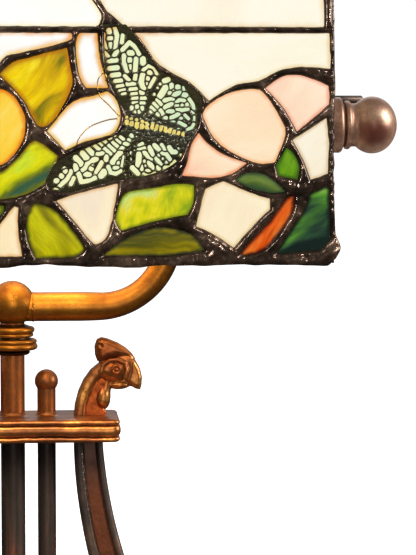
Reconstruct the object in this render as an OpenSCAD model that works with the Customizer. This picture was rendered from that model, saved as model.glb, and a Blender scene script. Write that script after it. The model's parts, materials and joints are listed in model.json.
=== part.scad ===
// Table lamp with a tilting stained glass shade on a bronze stand.
// Millimetres. X runs along the shade, -Y is the front, Z is up, and the origin is the
// centre of the underside. The shade tilts about an axis along X, the pivot.

/* [Stand] */
// Height of the pivot axis above the table
pivot_z = 293.5; // [285:0.5:310]
// Height of the top face of the bridge plate
bridge_z = 174; // [165:1:180]
// Radius of the centre column
column_r = 5; // [4:0.5:6]
// Distance of each finial rod from the column
rod_x = 13.9; // [12:0.1:16]
// Radius of the finial rods
rod_r = 3.8; // [3:0.1:4.5]
// Length of the bridge plate
bridge_w = 88; // [84:1:96]
// Depth of the bridge plate
bridge_d = 35; // [30:1:40]

/* [Base] */
// Height of the base
base_h = 36; // [32:1:40]
// Radius of the round ends of the base
base_r = 75; // [72:1:80]
// Distance of each round end from the centre
base_x = 28; // [24:1:34]

/* [Arms] */
// Height of the arms above the bridge plate
arm_rise = 44.9; // [42:0.1:48]
// Radius of the level part of each arm
arm_r = 6; // [5.5:0.5:6.5]
// Radius of the bent part and the upright
upright_r = 5.3; // [4.5:0.1:5.5]
// Distance of each upright from the column
upright_x = 64.8; // [60:0.1:70]
// Radius of the bend, to the middle of the tube
bend_r = 29; // [24:1:32]

/* [Shade] */
// Half the length of the shade
shade_x = 123.1; // [122:0.1:126]
// Half the depth of the shade
shade_y = 72; // [68:1:76]
// Depth of the front panel below the pivot
shade_drop = 52.6; // [51:0.1:56]
// Height of the fold above the pivot, where the flat panels meet the curved top
fold_z = 38; // [38:0.5:40]
// Height of the curved top above the fold
crown_h = 46; // [42:1:52]
// Thickness of the leading
came_t = 4; // [3.5:0.5:4.5]
// Thickness of the glass
glass_t = 3; // [2.5:0.5:3]

/* [Pivot] */
// Radius of the pivot shafts
shaft_r = 5; // [4:0.5:6]
// Running clearance of the shafts in the bosses and knobs, on the radius
running = 0.05; // [0.02:0.01:0.1]
// Radius of the boss on each end of the shade
boss_r = 11.5; // [10:0.5:13]
// Radius of the ball of each knob
knob_r = 11.8; // [10:0.1:13]

/* [Hidden] */
$fn = 96;
far = 400;
bronze = "#7a3f1c";
dark_bronze = "#4a2a1a";
lead = "#2c221c";
steel = "#9a9a9c";
sides = [-1, 1];

// Stand
felt_t = 1.5;
cover_t = 1.5;
plinth_z = felt_t + cover_t;
arm_z = bridge_z + arm_rise;
hub_z = arm_z + 1.5;
hub_r = 9.3;
column_top = hub_z - 8;
column_foot = 20;
bridge_t = 9.7;
leg_top = bridge_z - bridge_t;
leg_t = 12;
leg_x = 25.1;
leg_sweep = 22;
leg_w_top = 11.8;
leg_w_gain = 8;
foot_x = 57;
screw_x = 31;
tee_drop = 16;
gland_z = 9;

// Fixings and fittings of the stand
screw_r = 2;
foot_screw_head_r = 4;
cover_screw_r = 1.5;
cover_screw_head_r = 2.6;
cover_screw_l = 8;
nut_r = 9;
nut_h = 6;
column_wall = 1.5;
gland_r = 5;
gland_collar_r = 6;
cord_hole_r = 3;
weight_h = 15;
weight_bore_r = 16;
finial_r = 4.85;
finial_rise = 14.2;
seat = 3;
hub_socket = 5.5;

// Pivot
shaft_end = 150;
holder_x = -52;
holder_l = 30;
holder_r = 16.5;
holder_bore_r = 13.5;
holder_floor = 14;
bulb_neck_r = 13.2;
bulb_neck_x = holder_x + 39;
tee_r = 8;
tee_neck_r = 7;
tee_l = 18;
bulb_x = 17;
bulb_r = 22.5;
boss_end = 136.3;
washer_t = 0.8;
spigot_r = 8;
spigot_x = 115;
end_disc_r = 21;
knob_x = 137.2;
knob_ball_x = 148.9;
knob_half = 10.3;
knob_face_r = 9.4;
finger_y = 14;
finger_z = 8.2;
finger_r = 4;
finger_l = 19;
finger_tip_r = 3.2;
finger_tip_l = 1.6;
boss_nut_r = 13;
boss_nut_h = 4;
washer_r = 8.6;

// Leading
rail = 1.3;
mirror_x = -12;
squeeze = (shade_x + mirror_x) / (shade_x - mirror_x);

// An outline is a list of points [x, z], and a third value of 1 makes a point a corner.
// The curve through the others is a cardinal spline.
function flat(p) = [p[0], p[1]];
function at(o, i) = o[(i + len(o)) % len(o)];
function corner(p) = len(p) > 2;
function slope(o, i) = corner(at(o, i)) ? [0, 0] : (flat(at(o, i + 1)) - flat(at(o, i - 1))) / 2;
function blend(a, b, u, v, t) =
    a * (1 - 3 * t * t + 2 * t * t * t) + b * (3 * t * t - 2 * t * t * t)
    + u * (t - 2 * t * t + t * t * t) + v * (t * t * t - t * t);
function curve(o, steps = 3) = [for (i = [0 : len(o) - 1])
    let (straight = corner(at(o, i)) && corner(at(o, i + 1)), n = straight ? 1 : steps)
    for (k = [0 : n - 1])
        blend(flat(at(o, i)), flat(at(o, i + 1)), slope(o, i), slope(o, i + 1), k / n)];

// The left of the front panel is the right, turned over about mirror_x and a little narrower.
function over(p) = concat([mirror_x - (p[0] - mirror_x) * squeeze, p[1]], corner(p) ? [1] : []);
function flip(o) = [for (i = [len(o) - 1 : -1 : 0]) over(o[i])];
function pair(outlines) = concat(outlines, [for (o = outlines) flip(o)]);
function whole(half) = concat(half, flip(half));

// Glass of the front panel, from the pivot
sky = [[46.5, 36.5, 1], [121.5, 36.5, 1], [122, 22, 1], [111, 23], [102.5, 21.5], [94.5, 17.5],
    [86, 16], [75.5, 10, 1], [68, 17], [56.5, 23.5], [51, 31]];
corner_sky = [[120.7, 3.5, 1], [121.7, -6], [121.4, -18, 1], [114.5, -20.5, 1], [112.3, -14], [107.5, -5, 1]];
kite = [[74, -23.5, 1], [81, -20.5, 1], [91, -25], [99, -27.5, 1], [99, -31.5, 1], [92.5, -38],
    [85, -46.5, 1], [78.5, -42], [70.5, -38, 1], [72, -31]];
wedge_low = [[17, -28, 1], [24, -25.5], [40, -21.5, 1], [40.5, -24], [37, -40.5], [33, -44.5],
    [30, -43.5], [24.5, -37]];
corner_low = [[-10.8, -44.5, 1], [1, -30, 1], [2.8, -30.5, 1], [2.5, -39.5], [4, -49.3, 1],
    [-10.8, -49.6, 1]];
cloud = [[22, 36.8, 1], [23.4, 35], [21.5, 32.4], [5.5, 28.5], [-1.5, 27], [-5, 23.5], [-10, 21]];
cloud_mid = [[27, 36.6, 1], [33, 36.6, 1], [33.4, 30], [34.3, 24], [37.2, 14.8, 1], [28.5, 14.8, 1],
    [26, 19], [24.6, 29], [25, 34]];
cloud_low = [[31.5, 12], [36.5, 13.8, 1], [39.5, 11.5], [41.7, 6], [41, 0.5], [37.5, -3], [28, -5.6],
    [20.5, -9, 1], [13.3, -1.6, 1], [17, 3], [23.5, 9.8]];
petal_big = [[93, 14.6], [97.5, 12], [102.5, 4.5], [105, -2.8], [100.8, -13.6, 1], [92.5, -13.7],
    [80, -7], [74, 1.5], [74, 7], [82, 12.8]];
petal_top = [[109, 20], [115.5, 18.4], [121.5, 15.8, 1], [121.6, 8.6, 1], [115, 2.8], [109.3, -1.8, 1],
    [104.5, 6.5], [97, 14.8, 1], [103, 19.2]];
petal_low = [[71.5, -2.2, 1], [75, -6], [80.5, -10.2], [90.3, -13.7, 1], [84, -18], [76.5, -19.6],
    [65, -18.5, 1], [67, -13.5], [68.5, -7]];
flower = [[-5, 14.6], [-0.5, 13], [3.2, 9], [5.6, 2.5], [4.5, -5], [-0.5, -12.2], [-6, -15]];
leaf_high = [[21.4, 30.2, 1], [22.7, 22], [23.3, 16], [19, 6.5], [14.5, 1], [11, 0.2], [8.5, 3],
    [4.5, 10.5], [-1.5, 17], [-4.3, 20, 1], [0.5, 24.5], [9, 27]];
leaf_low = [[-10.8, -18.2, 1], [-3.5, -16.8], [3, -11], [9, -4.9], [17.8, -10.9, 1], [16, -17],
    [11.5, -22.5], [2, -26.6], [-10.8, -28.2, 1]];
leaf_mid = [[45, -24.6], [54, -23.2], [63.5, -21.6], [69.8, -22.2, 1], [69.5, -29], [67.2, -33.6, 1],
    [55, -36], [42, -39.6, 1], [39.6, -35.5], [41.5, -28]];
sprig = [[105.3, -7.7, 1], [108.4, -10.6], [110.4, -15.2], [109.6, -20.4, 1], [102, -18.6, 1],
    [101.1, -14.8, 1]];
leaf_thin = [[85, -20.4, 1], [90, -17.4], [98, -18.6], [105.2, -24.9, 1], [99.5, -25.4], [92, -23.8]];
leaf_corner = [[120.3, -22.8, 1], [121.8, -23.6, 1], [122, -36], [122.1, -43, 1], [119, -47.4, 1],
    [101, -49, 1], [106, -41.5], [112.5, -31.7], [114.3, -26, 1]];
leaf_dark = [[34, -49.5, 1], [43, -42.5], [52.5, -38.8], [59, -38.2], [69, -41], [74, -47.3, 1],
    [60.5, -49.2]];
leaf_side = [[10.5, -29.1], [18, -33], [27, -44.8], [26.8, -47.8], [23.5, -49.6, 1], [9, -50.2, 1],
    [6.2, -43], [5.6, -36], [7.5, -30.2]];
leaf_small = [[-5, -29.5, 1], [-2.9, -29.8, 1], [-2.9, -32, 1], [-11.6, -42.8, 1]];
leaf_red = [[108.3, -26.7, 1], [107, -34], [97.5, -46.7], [87.4, -49.4, 1], [91, -44.5], [99, -36],
    [105.6, -27.2]];
wing_high = [[37, 36, 1], [41.2, 37.2, 1], [45.5, 34], [51, 27.2], [55.8, 19.8, 1], [65, 15.8],
    [71, 10.6], [70.6, 5.5], [67.6, -2.6, 1], [55, 1.6], [45.8, 4, 1], [41.2, 12.4], [38, 20.5], [37, 29]];
wing_left = [[42.5, -5.2, 1], [31, -8.6], [20.5, -13.4], [15.6, -18.4], [15.8, -22.4], [22, -23],
    [32, -20.4], [41.5, -17.6, 1], [43.4, -11]];
wing_right = [[47.4, -5.6, 1], [56, -6], [64, -7.6, 1], [63, -11.4], [58, -15], [49, -17.6, 1],
    [46.4, -13]];
filigree_edge = [[35.4, 38.5, 1], [35.6, 28], [36.6, 20], [40, 11.6], [43.8, 4.6], [42, -1.6],
    [31, -7], [19.5, -12], [14.2, -18.4], [14.4, -23.2], [22.4, -24.4], [33, -21.6], [43.5, -19],
    [50, -18.8], [59, -16], [64.6, -11.6], [66.8, -6], [69.6, -3], [71.9, 5.5], [72.3, 11.2],
    [66, 17], [57, 20.8], [52, 28], [46.4, 35.2], [43.2, 38.5, 1]];

cream = pair([sky, corner_sky, kite, wedge_low, corner_low]);
white = concat([whole(cloud)], pair([cloud_mid, cloud_low]));
pink = pair([petal_big, petal_top, petal_low]);
orange = [whole(flower)];
yellow = pair([leaf_high, leaf_low, leaf_mid]);
green = concat([whole(leaf_small)], pair([sprig, leaf_thin, leaf_corner, leaf_dark, leaf_side]));
red = pair([leaf_red]);
wings = pair([wing_high, wing_left, wing_right]);
all_glass = concat(cream, white, pink, orange, yellow, green, red, wings);

// Veins of the filigree, each from the body towards the edge of a wing
veins = [[[45, 5], [39, 33]], [[46, 4.5], [46.5, 31]], [[47, 4], [53, 21.5]], [[52, 3], [69, 12]],
    [[54, 2.4], [70, 6]], [[43, -8], [17, -18]], [[42, -12], [20, -22]], [[47.5, -8], [62, -12]]];

// Bird, from the column and the top face of the bridge plate
bird_edge = [[24.8, 0, 1], [25.6, 6], [27, 10], [28.6, 14], [30.2, 16.6], [33, 19.8], [35.3, 21.8, 1],
    [34.3, 24.4], [33.5, 27.6], [34.5, 31.2], [36.4, 31.9], [41.5, 30.4], [46, 28], [49.2, 24.8],
    [51.6, 21.2], [53.2, 17.6], [53.5, 14.2], [53, 10.4, 1], [50.4, 11.4], [48, 13], [45, 13.2],
    [41.5, 11], [40.6, 8.4], [40.4, 5], [39, 2.6], [37.4, 0, 1]];
comb_edge = [[34.6, 21.8, 1], [33.9, 24.6], [33.1, 27.8], [34.3, 31.7], [36.6, 32.4], [42, 30.9],
    [46.6, 28.4], [50, 25], [46, 24], [41, 23], [37.4, 20.8]];
neck_edge = [[28.4, 0, 1], [29.8, 7], [31.6, 12], [34.6, 16.4], [36.6, 16], [35, 12], [34, 7], [33.2, 0, 1]];

// Points of an arc about c from angle a to angle b, in the plane of an outline
function arc(c, r, a, b, n = 8) =
    [for (k = [0 : n]) c + r * [cos(a + (b - a) * k / n), sin(a + (b - a) * k / n)]];

// Cross section of the shade. The curved top is half an ellipse above the fold.
top_angles = concat([0], [for (t = [3 : 6 : 177]) t], [180]);
function crown(inset, t) =
    [(shade_y - inset) * cos(t), fold_z + (crown_h - inset) * sin(t)];
function crown_span(inset, a, b) = [for (t = top_angles) if (t >= a && t <= b) crown(inset, t)];
function crown_strip(a, b, outer, inner) =
    let (o = crown_span(outer, a, b), i = crown_span(inner, a, b))
    concat(o, [for (k = [len(i) - 1 : -1 : 0]) i[k]]);
function end_edge(inset, lift = 0) = concat(
    [[shade_y - came_t - inset, lift - shade_drop]],
    crown_span(came_t + inset, 0, 180),
    [[inset + came_t - shade_y, lift - shade_drop]]);

// Lays a drawing in the plane of the front panel, with its front face at y
module upright(y, t) { translate([0, y + t, pivot_z]) rotate([90, 0, 0]) linear_extrude(t) children(); }

// Lays a drawing across the shade, from x to x + t
module across(x, t) { translate([x, 0, pivot_z]) rotate([90, 0, 90]) linear_extrude(t) children(); }

// Turns a drawing of [distance along X, radius] about the pivot, on the side s
module turned_x(s) {
    translate([0, 0, pivot_z]) mirror([s < 0 ? 1 : 0, 0, 0]) rotate([0, 90, 0])
        rotate_extrude() rotate([0, 0, 90]) mirror([0, 1, 0]) children();
}

module bore_x(r, from = -far, to = far) {
    translate([from, 0, pivot_z]) rotate([0, 90, 0]) cylinder(r = r, h = to - from);
}

module glass_set(outlines) {
    for (o = outlines)
        upright(-shade_y + (came_t - glass_t) / 2, glass_t) polygon(curve(o));
}

// A solid with straight sides and round ends, r wide about the line between the end centres
module stadium(r, z, h) {
    translate([0, 0, z]) union() {
        translate([-base_x, -r, 0]) cube([2 * base_x, 2 * r, h]);
        for (s = sides) translate([s * base_x, 0, 0]) cylinder(r = r, h = h);
    }
}

// A moulded solid whose side follows a drawing of [radius, z]
module moulded() {
    for (s = sides) translate([s * base_x, 0, 0]) rotate([0, 0, s > 0 ? -90 : 90])
        rotate_extrude(angle = 180) children();
    for (s = sides) rotate([0, 0, s > 0 ? 0 : 180]) translate([-base_x, 0, 0]) rotate([90, 0, 90])
        linear_extrude(2 * base_x) children();
}

module cover_screw_places() {
    for (a = sides, b = sides)
        translate([a * (base_x + (base_r - 2.5) * cos(45)), b * (base_r - 2.5) * sin(45), 0]) children();
}

module felt_pad() { color("#1e3a28") stadium(base_r - 3, 0, felt_t); }

module bottom_cover() {
    color(steel) difference() {
        stadium(base_r - 0.5, felt_t, cover_t);
        cover_screw_places() cylinder(r = cover_screw_head_r, h = far);
    }
}

module cover_screws() {
    color(steel) cover_screw_places() {
        translate([0, 0, felt_t]) cylinder(r = cover_screw_head_r, h = cover_t);
        translate([0, 0, plinth_z]) cylinder(r = cover_screw_r, h = cover_screw_l);
    }
}

module counterweight() {
    color(steel) difference() {
        stadium(base_r - 17, plinth_z, weight_h);
        cylinder(r = weight_bore_r, h = far);
    }
}

module base_plinth() {
    roof = base_h - 6;
    color(bronze) difference() {
        union() moulded() polygon(concat(
            [[0, plinth_z], [base_r, plinth_z]],
            arc([base_r - 2, base_h - 23], 2, 0, 90, 4),
            [[base_r - 6, base_h - 20], [base_r - 6, base_h - 16]],
            arc([base_r - 6, base_h - 4], 12, -90, -165, 8),
            [[base_r - 19, base_h - 5]],
            arc([base_r - 21, base_h - 3], 3, 0, 90, 5),
            [[0, base_h]]));
        union() moulded() polygon([[0, plinth_z - 1], [base_r - 5, plinth_z - 1], [base_r - 5, 12],
            [base_r - 12, 17], [base_r - 25, roof], [0, roof]]);
        cylinder(r = column_r, h = far);
        for (s = sides) {
            translate([s * rod_x, 0, base_h - seat]) cylinder(r = rod_r, h = far);
            translate([s * foot_x, 0, 0]) cylinder(r = screw_r, h = far);
        }
        cover_screw_places() cylinder(r = cover_screw_r, h = plinth_z + cover_screw_l);
        translate([0, base_r - 12, gland_z]) rotate([-90, 0, 0]) cylinder(r = gland_r, h = 20);
        translate([0, base_r - 12, gland_z]) rotate([-90, 0, 0]) cylinder(r = gland_collar_r, h = 7);
    }
}

module cord_gland() {
    color("#202020") difference() {
        union() {
            translate([0, base_r - 8, gland_z]) rotate([-90, 0, 0]) cylinder(r = gland_r, h = 8);
            translate([0, base_r - 8, gland_z]) rotate([-90, 0, 0]) cylinder(r = gland_collar_r, h = 3);
        }
        translate([0, base_r - 12, gland_z]) rotate([-90, 0, 0]) cylinder(r = cord_hole_r, h = 20);
    }
}

module column_nut() {
    color(steel) translate([0, 0, base_h - 6 - nut_h]) difference() {
        cylinder(r = nut_r, h = nut_h, $fn = 6);
        translate([0, 0, -1]) cylinder(r = column_r, h = nut_h + 2);
    }
}

module column() {
    color(dark_bronze) translate([0, 0, column_foot]) difference() {
        cylinder(r = column_r, h = column_top - column_foot);
        translate([0, 0, -1]) cylinder(r = column_r - column_wall, h = far);
    }
}

module finial_rods() {
    ball_z = bridge_z + finial_rise;
    color(dark_bronze) for (s = sides) translate([s * rod_x, 0, 0]) {
        translate([0, 0, base_h - seat]) cylinder(r = rod_r, h = ball_z - base_h);
        translate([0, 0, ball_z]) sphere(r = finial_r);
    }
}

module foot_screws() {
    color(steel) for (s = sides) translate([s * foot_x, 0, 0]) {
        translate([0, 0, base_h - 6]) cylinder(r = screw_r, h = 18);
        translate([0, 0, base_h - 9]) cylinder(r = foot_screw_head_r, h = 3);
    }
}

// The leg sweeps outward in a slow S and grows wider, with a recessed web between its rails.
leg_h = leg_top - base_h;
function leg_inner(t) = leg_x + leg_sweep * (1 - cos(180 * t)) / 2;
function leg_width(t) = leg_w_top + leg_w_gain * t;
function leg_side(inset, a, b, n) = concat(
    [for (k = [0 : n]) let (t = a + (b - a) * k / n) [leg_inner(t) + inset, leg_top - leg_h * t]],
    [for (k = [n : -1 : 0]) let (t = a + (b - a) * k / n)
        [leg_inner(t) + leg_width(t) - inset, leg_top - leg_h * t]]);

module leg(s) {
    recess = 2.5;
    rail_w = 3.2;
    web_end = 0.86;
    toe_r = 3;
    color(dark_bronze) mirror([s < 0 ? 1 : 0, 0, 0]) difference() {
        union() {
            translate([0, leg_t / 2, 0]) rotate([90, 0, 0])
                linear_extrude(leg_t) polygon(leg_side(0, 0, 1, 24));
            translate([foot_x - 14, -9, base_h]) cube([30, 18, 5]);
            for (y = [-5.5, 0, 5.5]) translate([foot_x + 15, y, base_h + toe_r + 0.2])
                rotate([0, 90, 0]) cylinder(r = toe_r, h = 5);
        }
        for (y = [-leg_t / 2, leg_t / 2 - recess]) translate([0, y + recess, 0]) rotate([90, 0, 0])
            linear_extrude(recess) polygon(leg_side(rail_w, -0.02, web_end, 20));
        translate([foot_x, 0, base_h - 1]) cylinder(r = screw_r, h = 13);
        translate([screw_x, 0, leg_top - 10]) cylinder(r = screw_r, h = 20);
    }
}

module rounded_slab(w, d, r, z, h) {
    translate([0, 0, z]) union() {
        translate([-w / 2 + r, -d / 2, 0]) cube([w - 2 * r, d, h]);
        translate([-w / 2, -d / 2 + r, 0]) cube([w, d - 2 * r, h]);
        for (a = sides, b = sides)
            translate([a * (w / 2 - r), b * (d / 2 - r), 0]) cylinder(r = r, h = h);
    }
}

module bridge_plate() {
    color(bronze) difference() {
        union() {
            rounded_slab(bridge_w - 2, bridge_d - 2, 3, bridge_z - bridge_t, bridge_t);
            rounded_slab(bridge_w - 0.6, bridge_d - 0.6, 4, bridge_z - 2, 2);
            rounded_slab(bridge_w, bridge_d, 4, bridge_z - 7, 4.4);
            rounded_slab(bridge_w - 0.6, bridge_d - 0.6, 4, bridge_z - bridge_t, 2);
        }
        cylinder(r = column_r, h = far);
        for (s = sides) {
            translate([s * rod_x, 0, 0]) cylinder(r = rod_r, h = far);
            translate([s * screw_x, 0, 0]) cylinder(r = screw_r, h = far);
        }
    }
}

module bridge_screws() {
    color(steel) for (s = sides)
        translate([s * screw_x, 0, leg_top - 10]) cylinder(r = screw_r, h = bridge_t + 18);
}

module bird_head(s) {
    eye = [42.8, 18.2];
    eye_r = 2.4;
    wattle = [37.2, 7.5];
    wattle_r = 3;
    head_t = 9;
    comb_t = 5;
    color(bronze) mirror([s < 0 ? 1 : 0, 0, 0]) translate([0, 0, bridge_z]) difference() {
        union() {
            translate([0, head_t / 2, 0]) rotate([90, 0, 0])
                linear_extrude(head_t) polygon(curve(bird_edge));
            translate([0, comb_t / 2, 0]) rotate([90, 0, 0])
                linear_extrude(comb_t) polygon(curve(comb_edge));
            translate([eye[0], 5.5, eye[1]]) rotate([90, 0, 0]) cylinder(r = eye_r, h = 11);
            translate([wattle[0], 5, wattle[1]]) rotate([90, 0, 0]) cylinder(r = wattle_r, h = 10);
        }
        for (y = [-2.5, 4.6]) translate([0, y, 0]) rotate([90, 0, 0])
            linear_extrude(2.1) polygon(curve(neck_edge));
        translate([screw_x, 0, -1]) cylinder(r = screw_r, h = 9);
    }
}

// Turned collars on the column: two half-round rings with a neck between, and a thin disc
module column_rings() {
    low = arm_z - 19.6;
    color(bronze) difference() {
        union() {
            translate([0, 0, low]) cylinder(r = 7.4, h = arm_z - 8 - low);
            translate([0, 0, low + 2.9]) rotate_extrude()
                polygon(concat([[0, 0]], arc([8.5, 2], 2, -90, 90, 8), [[0, 4]]));
            translate([0, 0, low + 8.3]) rotate_extrude()
                polygon(concat([[0, 0]], arc([7.6, 1.6], 1.6, -90, 90, 8), [[0, 3.2]]));
        }
        cylinder(r = column_r, h = far);
        translate([0, 0, hub_z]) sphere(r = hub_r);
    }
}

module hub_ball() {
    color(bronze) difference() {
        translate([0, 0, hub_z]) sphere(r = hub_r);
        translate([0, 0, column_top - 20]) cylinder(r = column_r, h = 20);
        for (s = sides) mirror([s < 0 ? 1 : 0, 0, 0])
            translate([hub_socket, 0, arm_z]) rotate([0, 90, 0]) cylinder(r = arm_r, h = 20);
    }
}

module arm_path(r_level, r_bend) {
    bend_x = upright_x - bend_r;
    translate([hub_socket, 0, arm_z]) rotate([0, 90, 0]) cylinder(r = r_level, h = bend_x - hub_socket);
    translate([bend_x, 0, arm_z + bend_r]) rotate([90, 0, 0]) rotate([0, 0, -90])
        rotate_extrude(angle = 90) translate([bend_r, 0]) circle(r = r_bend);
    translate([upright_x, 0, arm_z + bend_r])
        cylinder(r = r_bend, h = pivot_z - 8 - arm_z - bend_r);
}

module arm(s) {
    color(bronze) mirror([s < 0 ? 1 : 0, 0, 0]) arm_path(arm_r, upright_r);
}

module upright_tees() {
    color(bronze) for (s = sides) difference() {
        union() {
            translate([s * upright_x, 0, pivot_z]) rotate([0, 90, 0])
                cylinder(r = tee_r, h = tee_l, center = true);
            translate([s * upright_x, 0, pivot_z - tee_drop]) cylinder(r = tee_neck_r, h = tee_drop);
        }
        bore_x(shaft_r);
        translate([s * upright_x, 0, pivot_z - tee_drop - 1]) cylinder(r = upright_r, h = tee_drop - 7);
    }
}

module pivot_shaft(s) {
    inner = s < 0 ? 44 : 52;
    color(steel) if (s < 0) bore_x(shaft_r, -shaft_end, -inner); else bore_x(shaft_r, inner, shaft_end);
}

module lampholder() {
    color("#c9a050") difference() {
        bore_x(holder_r, holder_x, holder_x + holder_l);
        bore_x(holder_bore_r, holder_x + holder_floor, far);
        bore_x(shaft_r, -far, holder_x + 8);
    }
}

module bulb_cap() { color("#d8c070") bore_x(bulb_neck_r, holder_x + holder_floor + 1, bulb_neck_x); }

module bulb_glass() {
    color("#fff4d8") turned_x(1) polygon(concat(
        [[bulb_neck_x, 0], [bulb_neck_x, bulb_neck_r]],
        arc([bulb_x, 0], bulb_r, 142, 0, 20)));
}

module front_came() {
    edge = [[-shade_x, -shade_drop], [shade_x, -shade_drop], [shade_x, fold_z], [-shade_x, fold_z]];
    windows = [for (o = all_glass) curve(o)];
    starts = [for (i = 0, n = 4; i < len(windows); n = n + len(windows[i]), i = i + 1) n];
    points = concat(edge, [for (w = windows) each w]);
    paths = concat([[0, 1, 2, 3]],
        [for (i = [0 : len(windows) - 1]) [for (k = [0 : len(windows[i]) - 1]) starts[i] + k]]);
    color(lead) upright(-shade_y, came_t) polygon(points, paths);
}

function bar(a, b, w) = let (d = (b - a) / norm(b - a), n = w / 2 * [-d[1], d[0]])
    [a + n, b + n, b - n, a - n];
function side_point(p, s) = s > 0 ? p : flat(over(p));

module butterfly_filigree() {
    windows = [wing_high, wing_left, wing_right];
    color(lead) for (s = sides) upright(-shade_y - 0.6, 0.6) union() {
        difference() {
            polygon(curve(s > 0 ? filigree_edge : flip(filigree_edge)));
            for (o = windows) polygon(curve(s > 0 ? o : flip(o)));
        }
        for (v = veins) polygon(bar(side_point(v[0], s), side_point(v[1], s), 0.9));
    }
}

module glass_cream() { color("#f6ead0") glass_set(cream); }
module glass_white() { color("#fffaf0") glass_set(white); }
module glass_pink() { color("#f4b8a4") glass_set(pink); }
module glass_orange() { color("#f08a20") glass_set(orange); }
module glass_yellow_leaf() { color("#b8b820") glass_set(yellow); }
module glass_green_leaf() { color("#2f6a2c") glass_set(green); }
module glass_red_leaf() { color("#a83014") glass_set(red); }
module glass_butterfly() { color("#d8ecb8") glass_set(wings); }

// The rear panel is a plain lattice with a band of green squares along its foot.
rear_low = -shade_drop + 3.1;
rear_high = fold_z - 1.5;
rear_band = 16;
rear_left = -shade_x + 3.1;
rear_span = -2 * rear_left;
bead = 2.6;
function pane(x0, x1, z0, z1) = [[x0, z0], [x1, z0], [x1, z1], [x0, z1]];
function row(n, z0, z1) = [for (k = [0 : n - 1]) let (w = (rear_span + bead) / n)
    pane(rear_left + k * w, rear_left + (k + 1) * w - bead, z0, z1)];
rear_mid = (rear_low + rear_band + bead + rear_high) / 2;
rear_green = row(12, rear_low, rear_low + rear_band);
rear_cream = concat(row(4, rear_low + rear_band + bead, rear_mid - bead / 2),
    row(4, rear_mid + bead / 2, rear_high));

module rear_came() {
    color(lead) upright(shade_y - came_t, came_t) difference() {
        translate([-shade_x, -shade_drop]) square([2 * shade_x, shade_drop + fold_z]);
        for (p = concat(rear_green, rear_cream)) polygon(p);
    }
}

module rear_glass(panes) {
    for (p = panes) upright(shade_y - (came_t + glass_t) / 2, glass_t) polygon(p);
}

module rear_glass_cream() { color("#f6ead0") rear_glass(rear_cream); }
module rear_glass_green() { color("#4f7a34") rear_glass(rear_green); }

// The curved top: bent panes between ribs across the shade and rails along it
rib_x = [-58, 34];
rail_t = [[0, 3], [57, 63], [117, 123], [177, 180]];
bay_t = [[3, 57], [63, 117], [123, 177]];
bays = [[-shade_x + came_t, rib_x[0] - rail], [rib_x[0] + rail, rib_x[1] - rail],
    [rib_x[1] + rail, shade_x - came_t]];

module top_ribs() {
    color(lead) {
        for (x = [-shade_x, shade_x - came_t]) across(x, came_t) polygon(crown_strip(0, 180, 0, came_t));
        for (x = rib_x) across(x - rail, 2 * rail) polygon(crown_strip(0, 180, 0, came_t));
    }
}

module top_rails() {
    color(lead) for (b = bays, t = rail_t)
        across(b[0], b[1] - b[0]) polygon(crown_strip(t[0], t[1], 0, came_t));
}

module top_glass() {
    skin = (came_t - glass_t) / 2;
    color("#fdf3dc") for (b = bays, t = bay_t)
        across(b[0], b[1] - b[0]) polygon(crown_strip(t[0], t[1], skin, skin + glass_t));
}

// Each end of the shade is leaded round a plain disc that carries the boss.
function ray(a) = [cos(a), sin(a)];
function sector(a) = let (tip = 2 * rail * ray(a)) [tip, tip + far * ray(a - 30), tip + far * ray(a + 30)];
sector_angles = [30 : 60 : 330];

module end_panes() {
    for (a = sector_angles) intersection() {
        polygon(end_edge(3, 3));
        difference() {
            polygon(sector(a));
            circle(r = end_disc_r);
        }
    }
}

module end_came(s) {
    color(lead) across(s > 0 ? shade_x - came_t : -shade_x, came_t) difference() {
        polygon(end_edge(0));
        end_panes();
        circle(r = spigot_r);
    }
}

module end_glass() {
    skin = (came_t - glass_t) / 2;
    color("#cdbb62") for (s = sides)
        across(s > 0 ? shade_x - came_t + skin : -shade_x + skin, glass_t) end_panes();
}

module pivot_boss(s) {
    color(bronze) difference() {
        turned_x(s) polygon(concat(
            [[spigot_x, 0], [spigot_x, spigot_r], [shade_x, spigot_r], [shade_x, boss_r]],
            arc([boss_end - 1.5, boss_r - 1.5], 1.5, 90, 0, 5), [[boss_end, 0]]));
        bore_x(shaft_r + running);
    }
}

module boss_nuts() {
    color(steel) difference() {
        for (s = sides) translate([s * (shade_x - came_t - 2), 0, pivot_z]) rotate([0, 90, 0])
            cylinder(r = boss_nut_r, h = boss_nut_h, center = true, $fn = 6);
        bore_x(spigot_r);
    }
}

module friction_washers() {
    color(steel) difference() {
        for (s = sides) translate([s * (boss_end + washer_t / 2), 0, pivot_z]) rotate([0, 90, 0])
            cylinder(r = washer_r, h = washer_t, center = true);
        bore_x(shaft_r + running);
    }
}

module finger_bars() {
    color(bronze) for (s = sides) translate([s * shade_x, finger_y, pivot_z + finger_z])
        rotate([0, s * 90, 0]) union() {
            cylinder(r = finger_r, h = finger_l);
            translate([0, 0, finger_l]) cylinder(r = finger_tip_r, h = finger_tip_l);
        }
}

module knob(s) {
    color(dark_bronze) difference() {
        turned_x(s) polygon(concat(
            [[knob_x, 0], [knob_x, knob_face_r]],
            arc([knob_x + 1.2, 9.1], 1, 135, 0, 5),
            [[140.3, 8.9], [141.6, 8.9]],
            [for (t = [130 : -6.5 : 0]) [knob_ball_x + knob_half * cos(t), knob_r * sin(t)]]));
        if (s > 0) bore_x(shaft_r + running, 100, shaft_end + 0.5);
        else bore_x(shaft_r + running, -shaft_end - 0.5, -100);
    }
}

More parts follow.
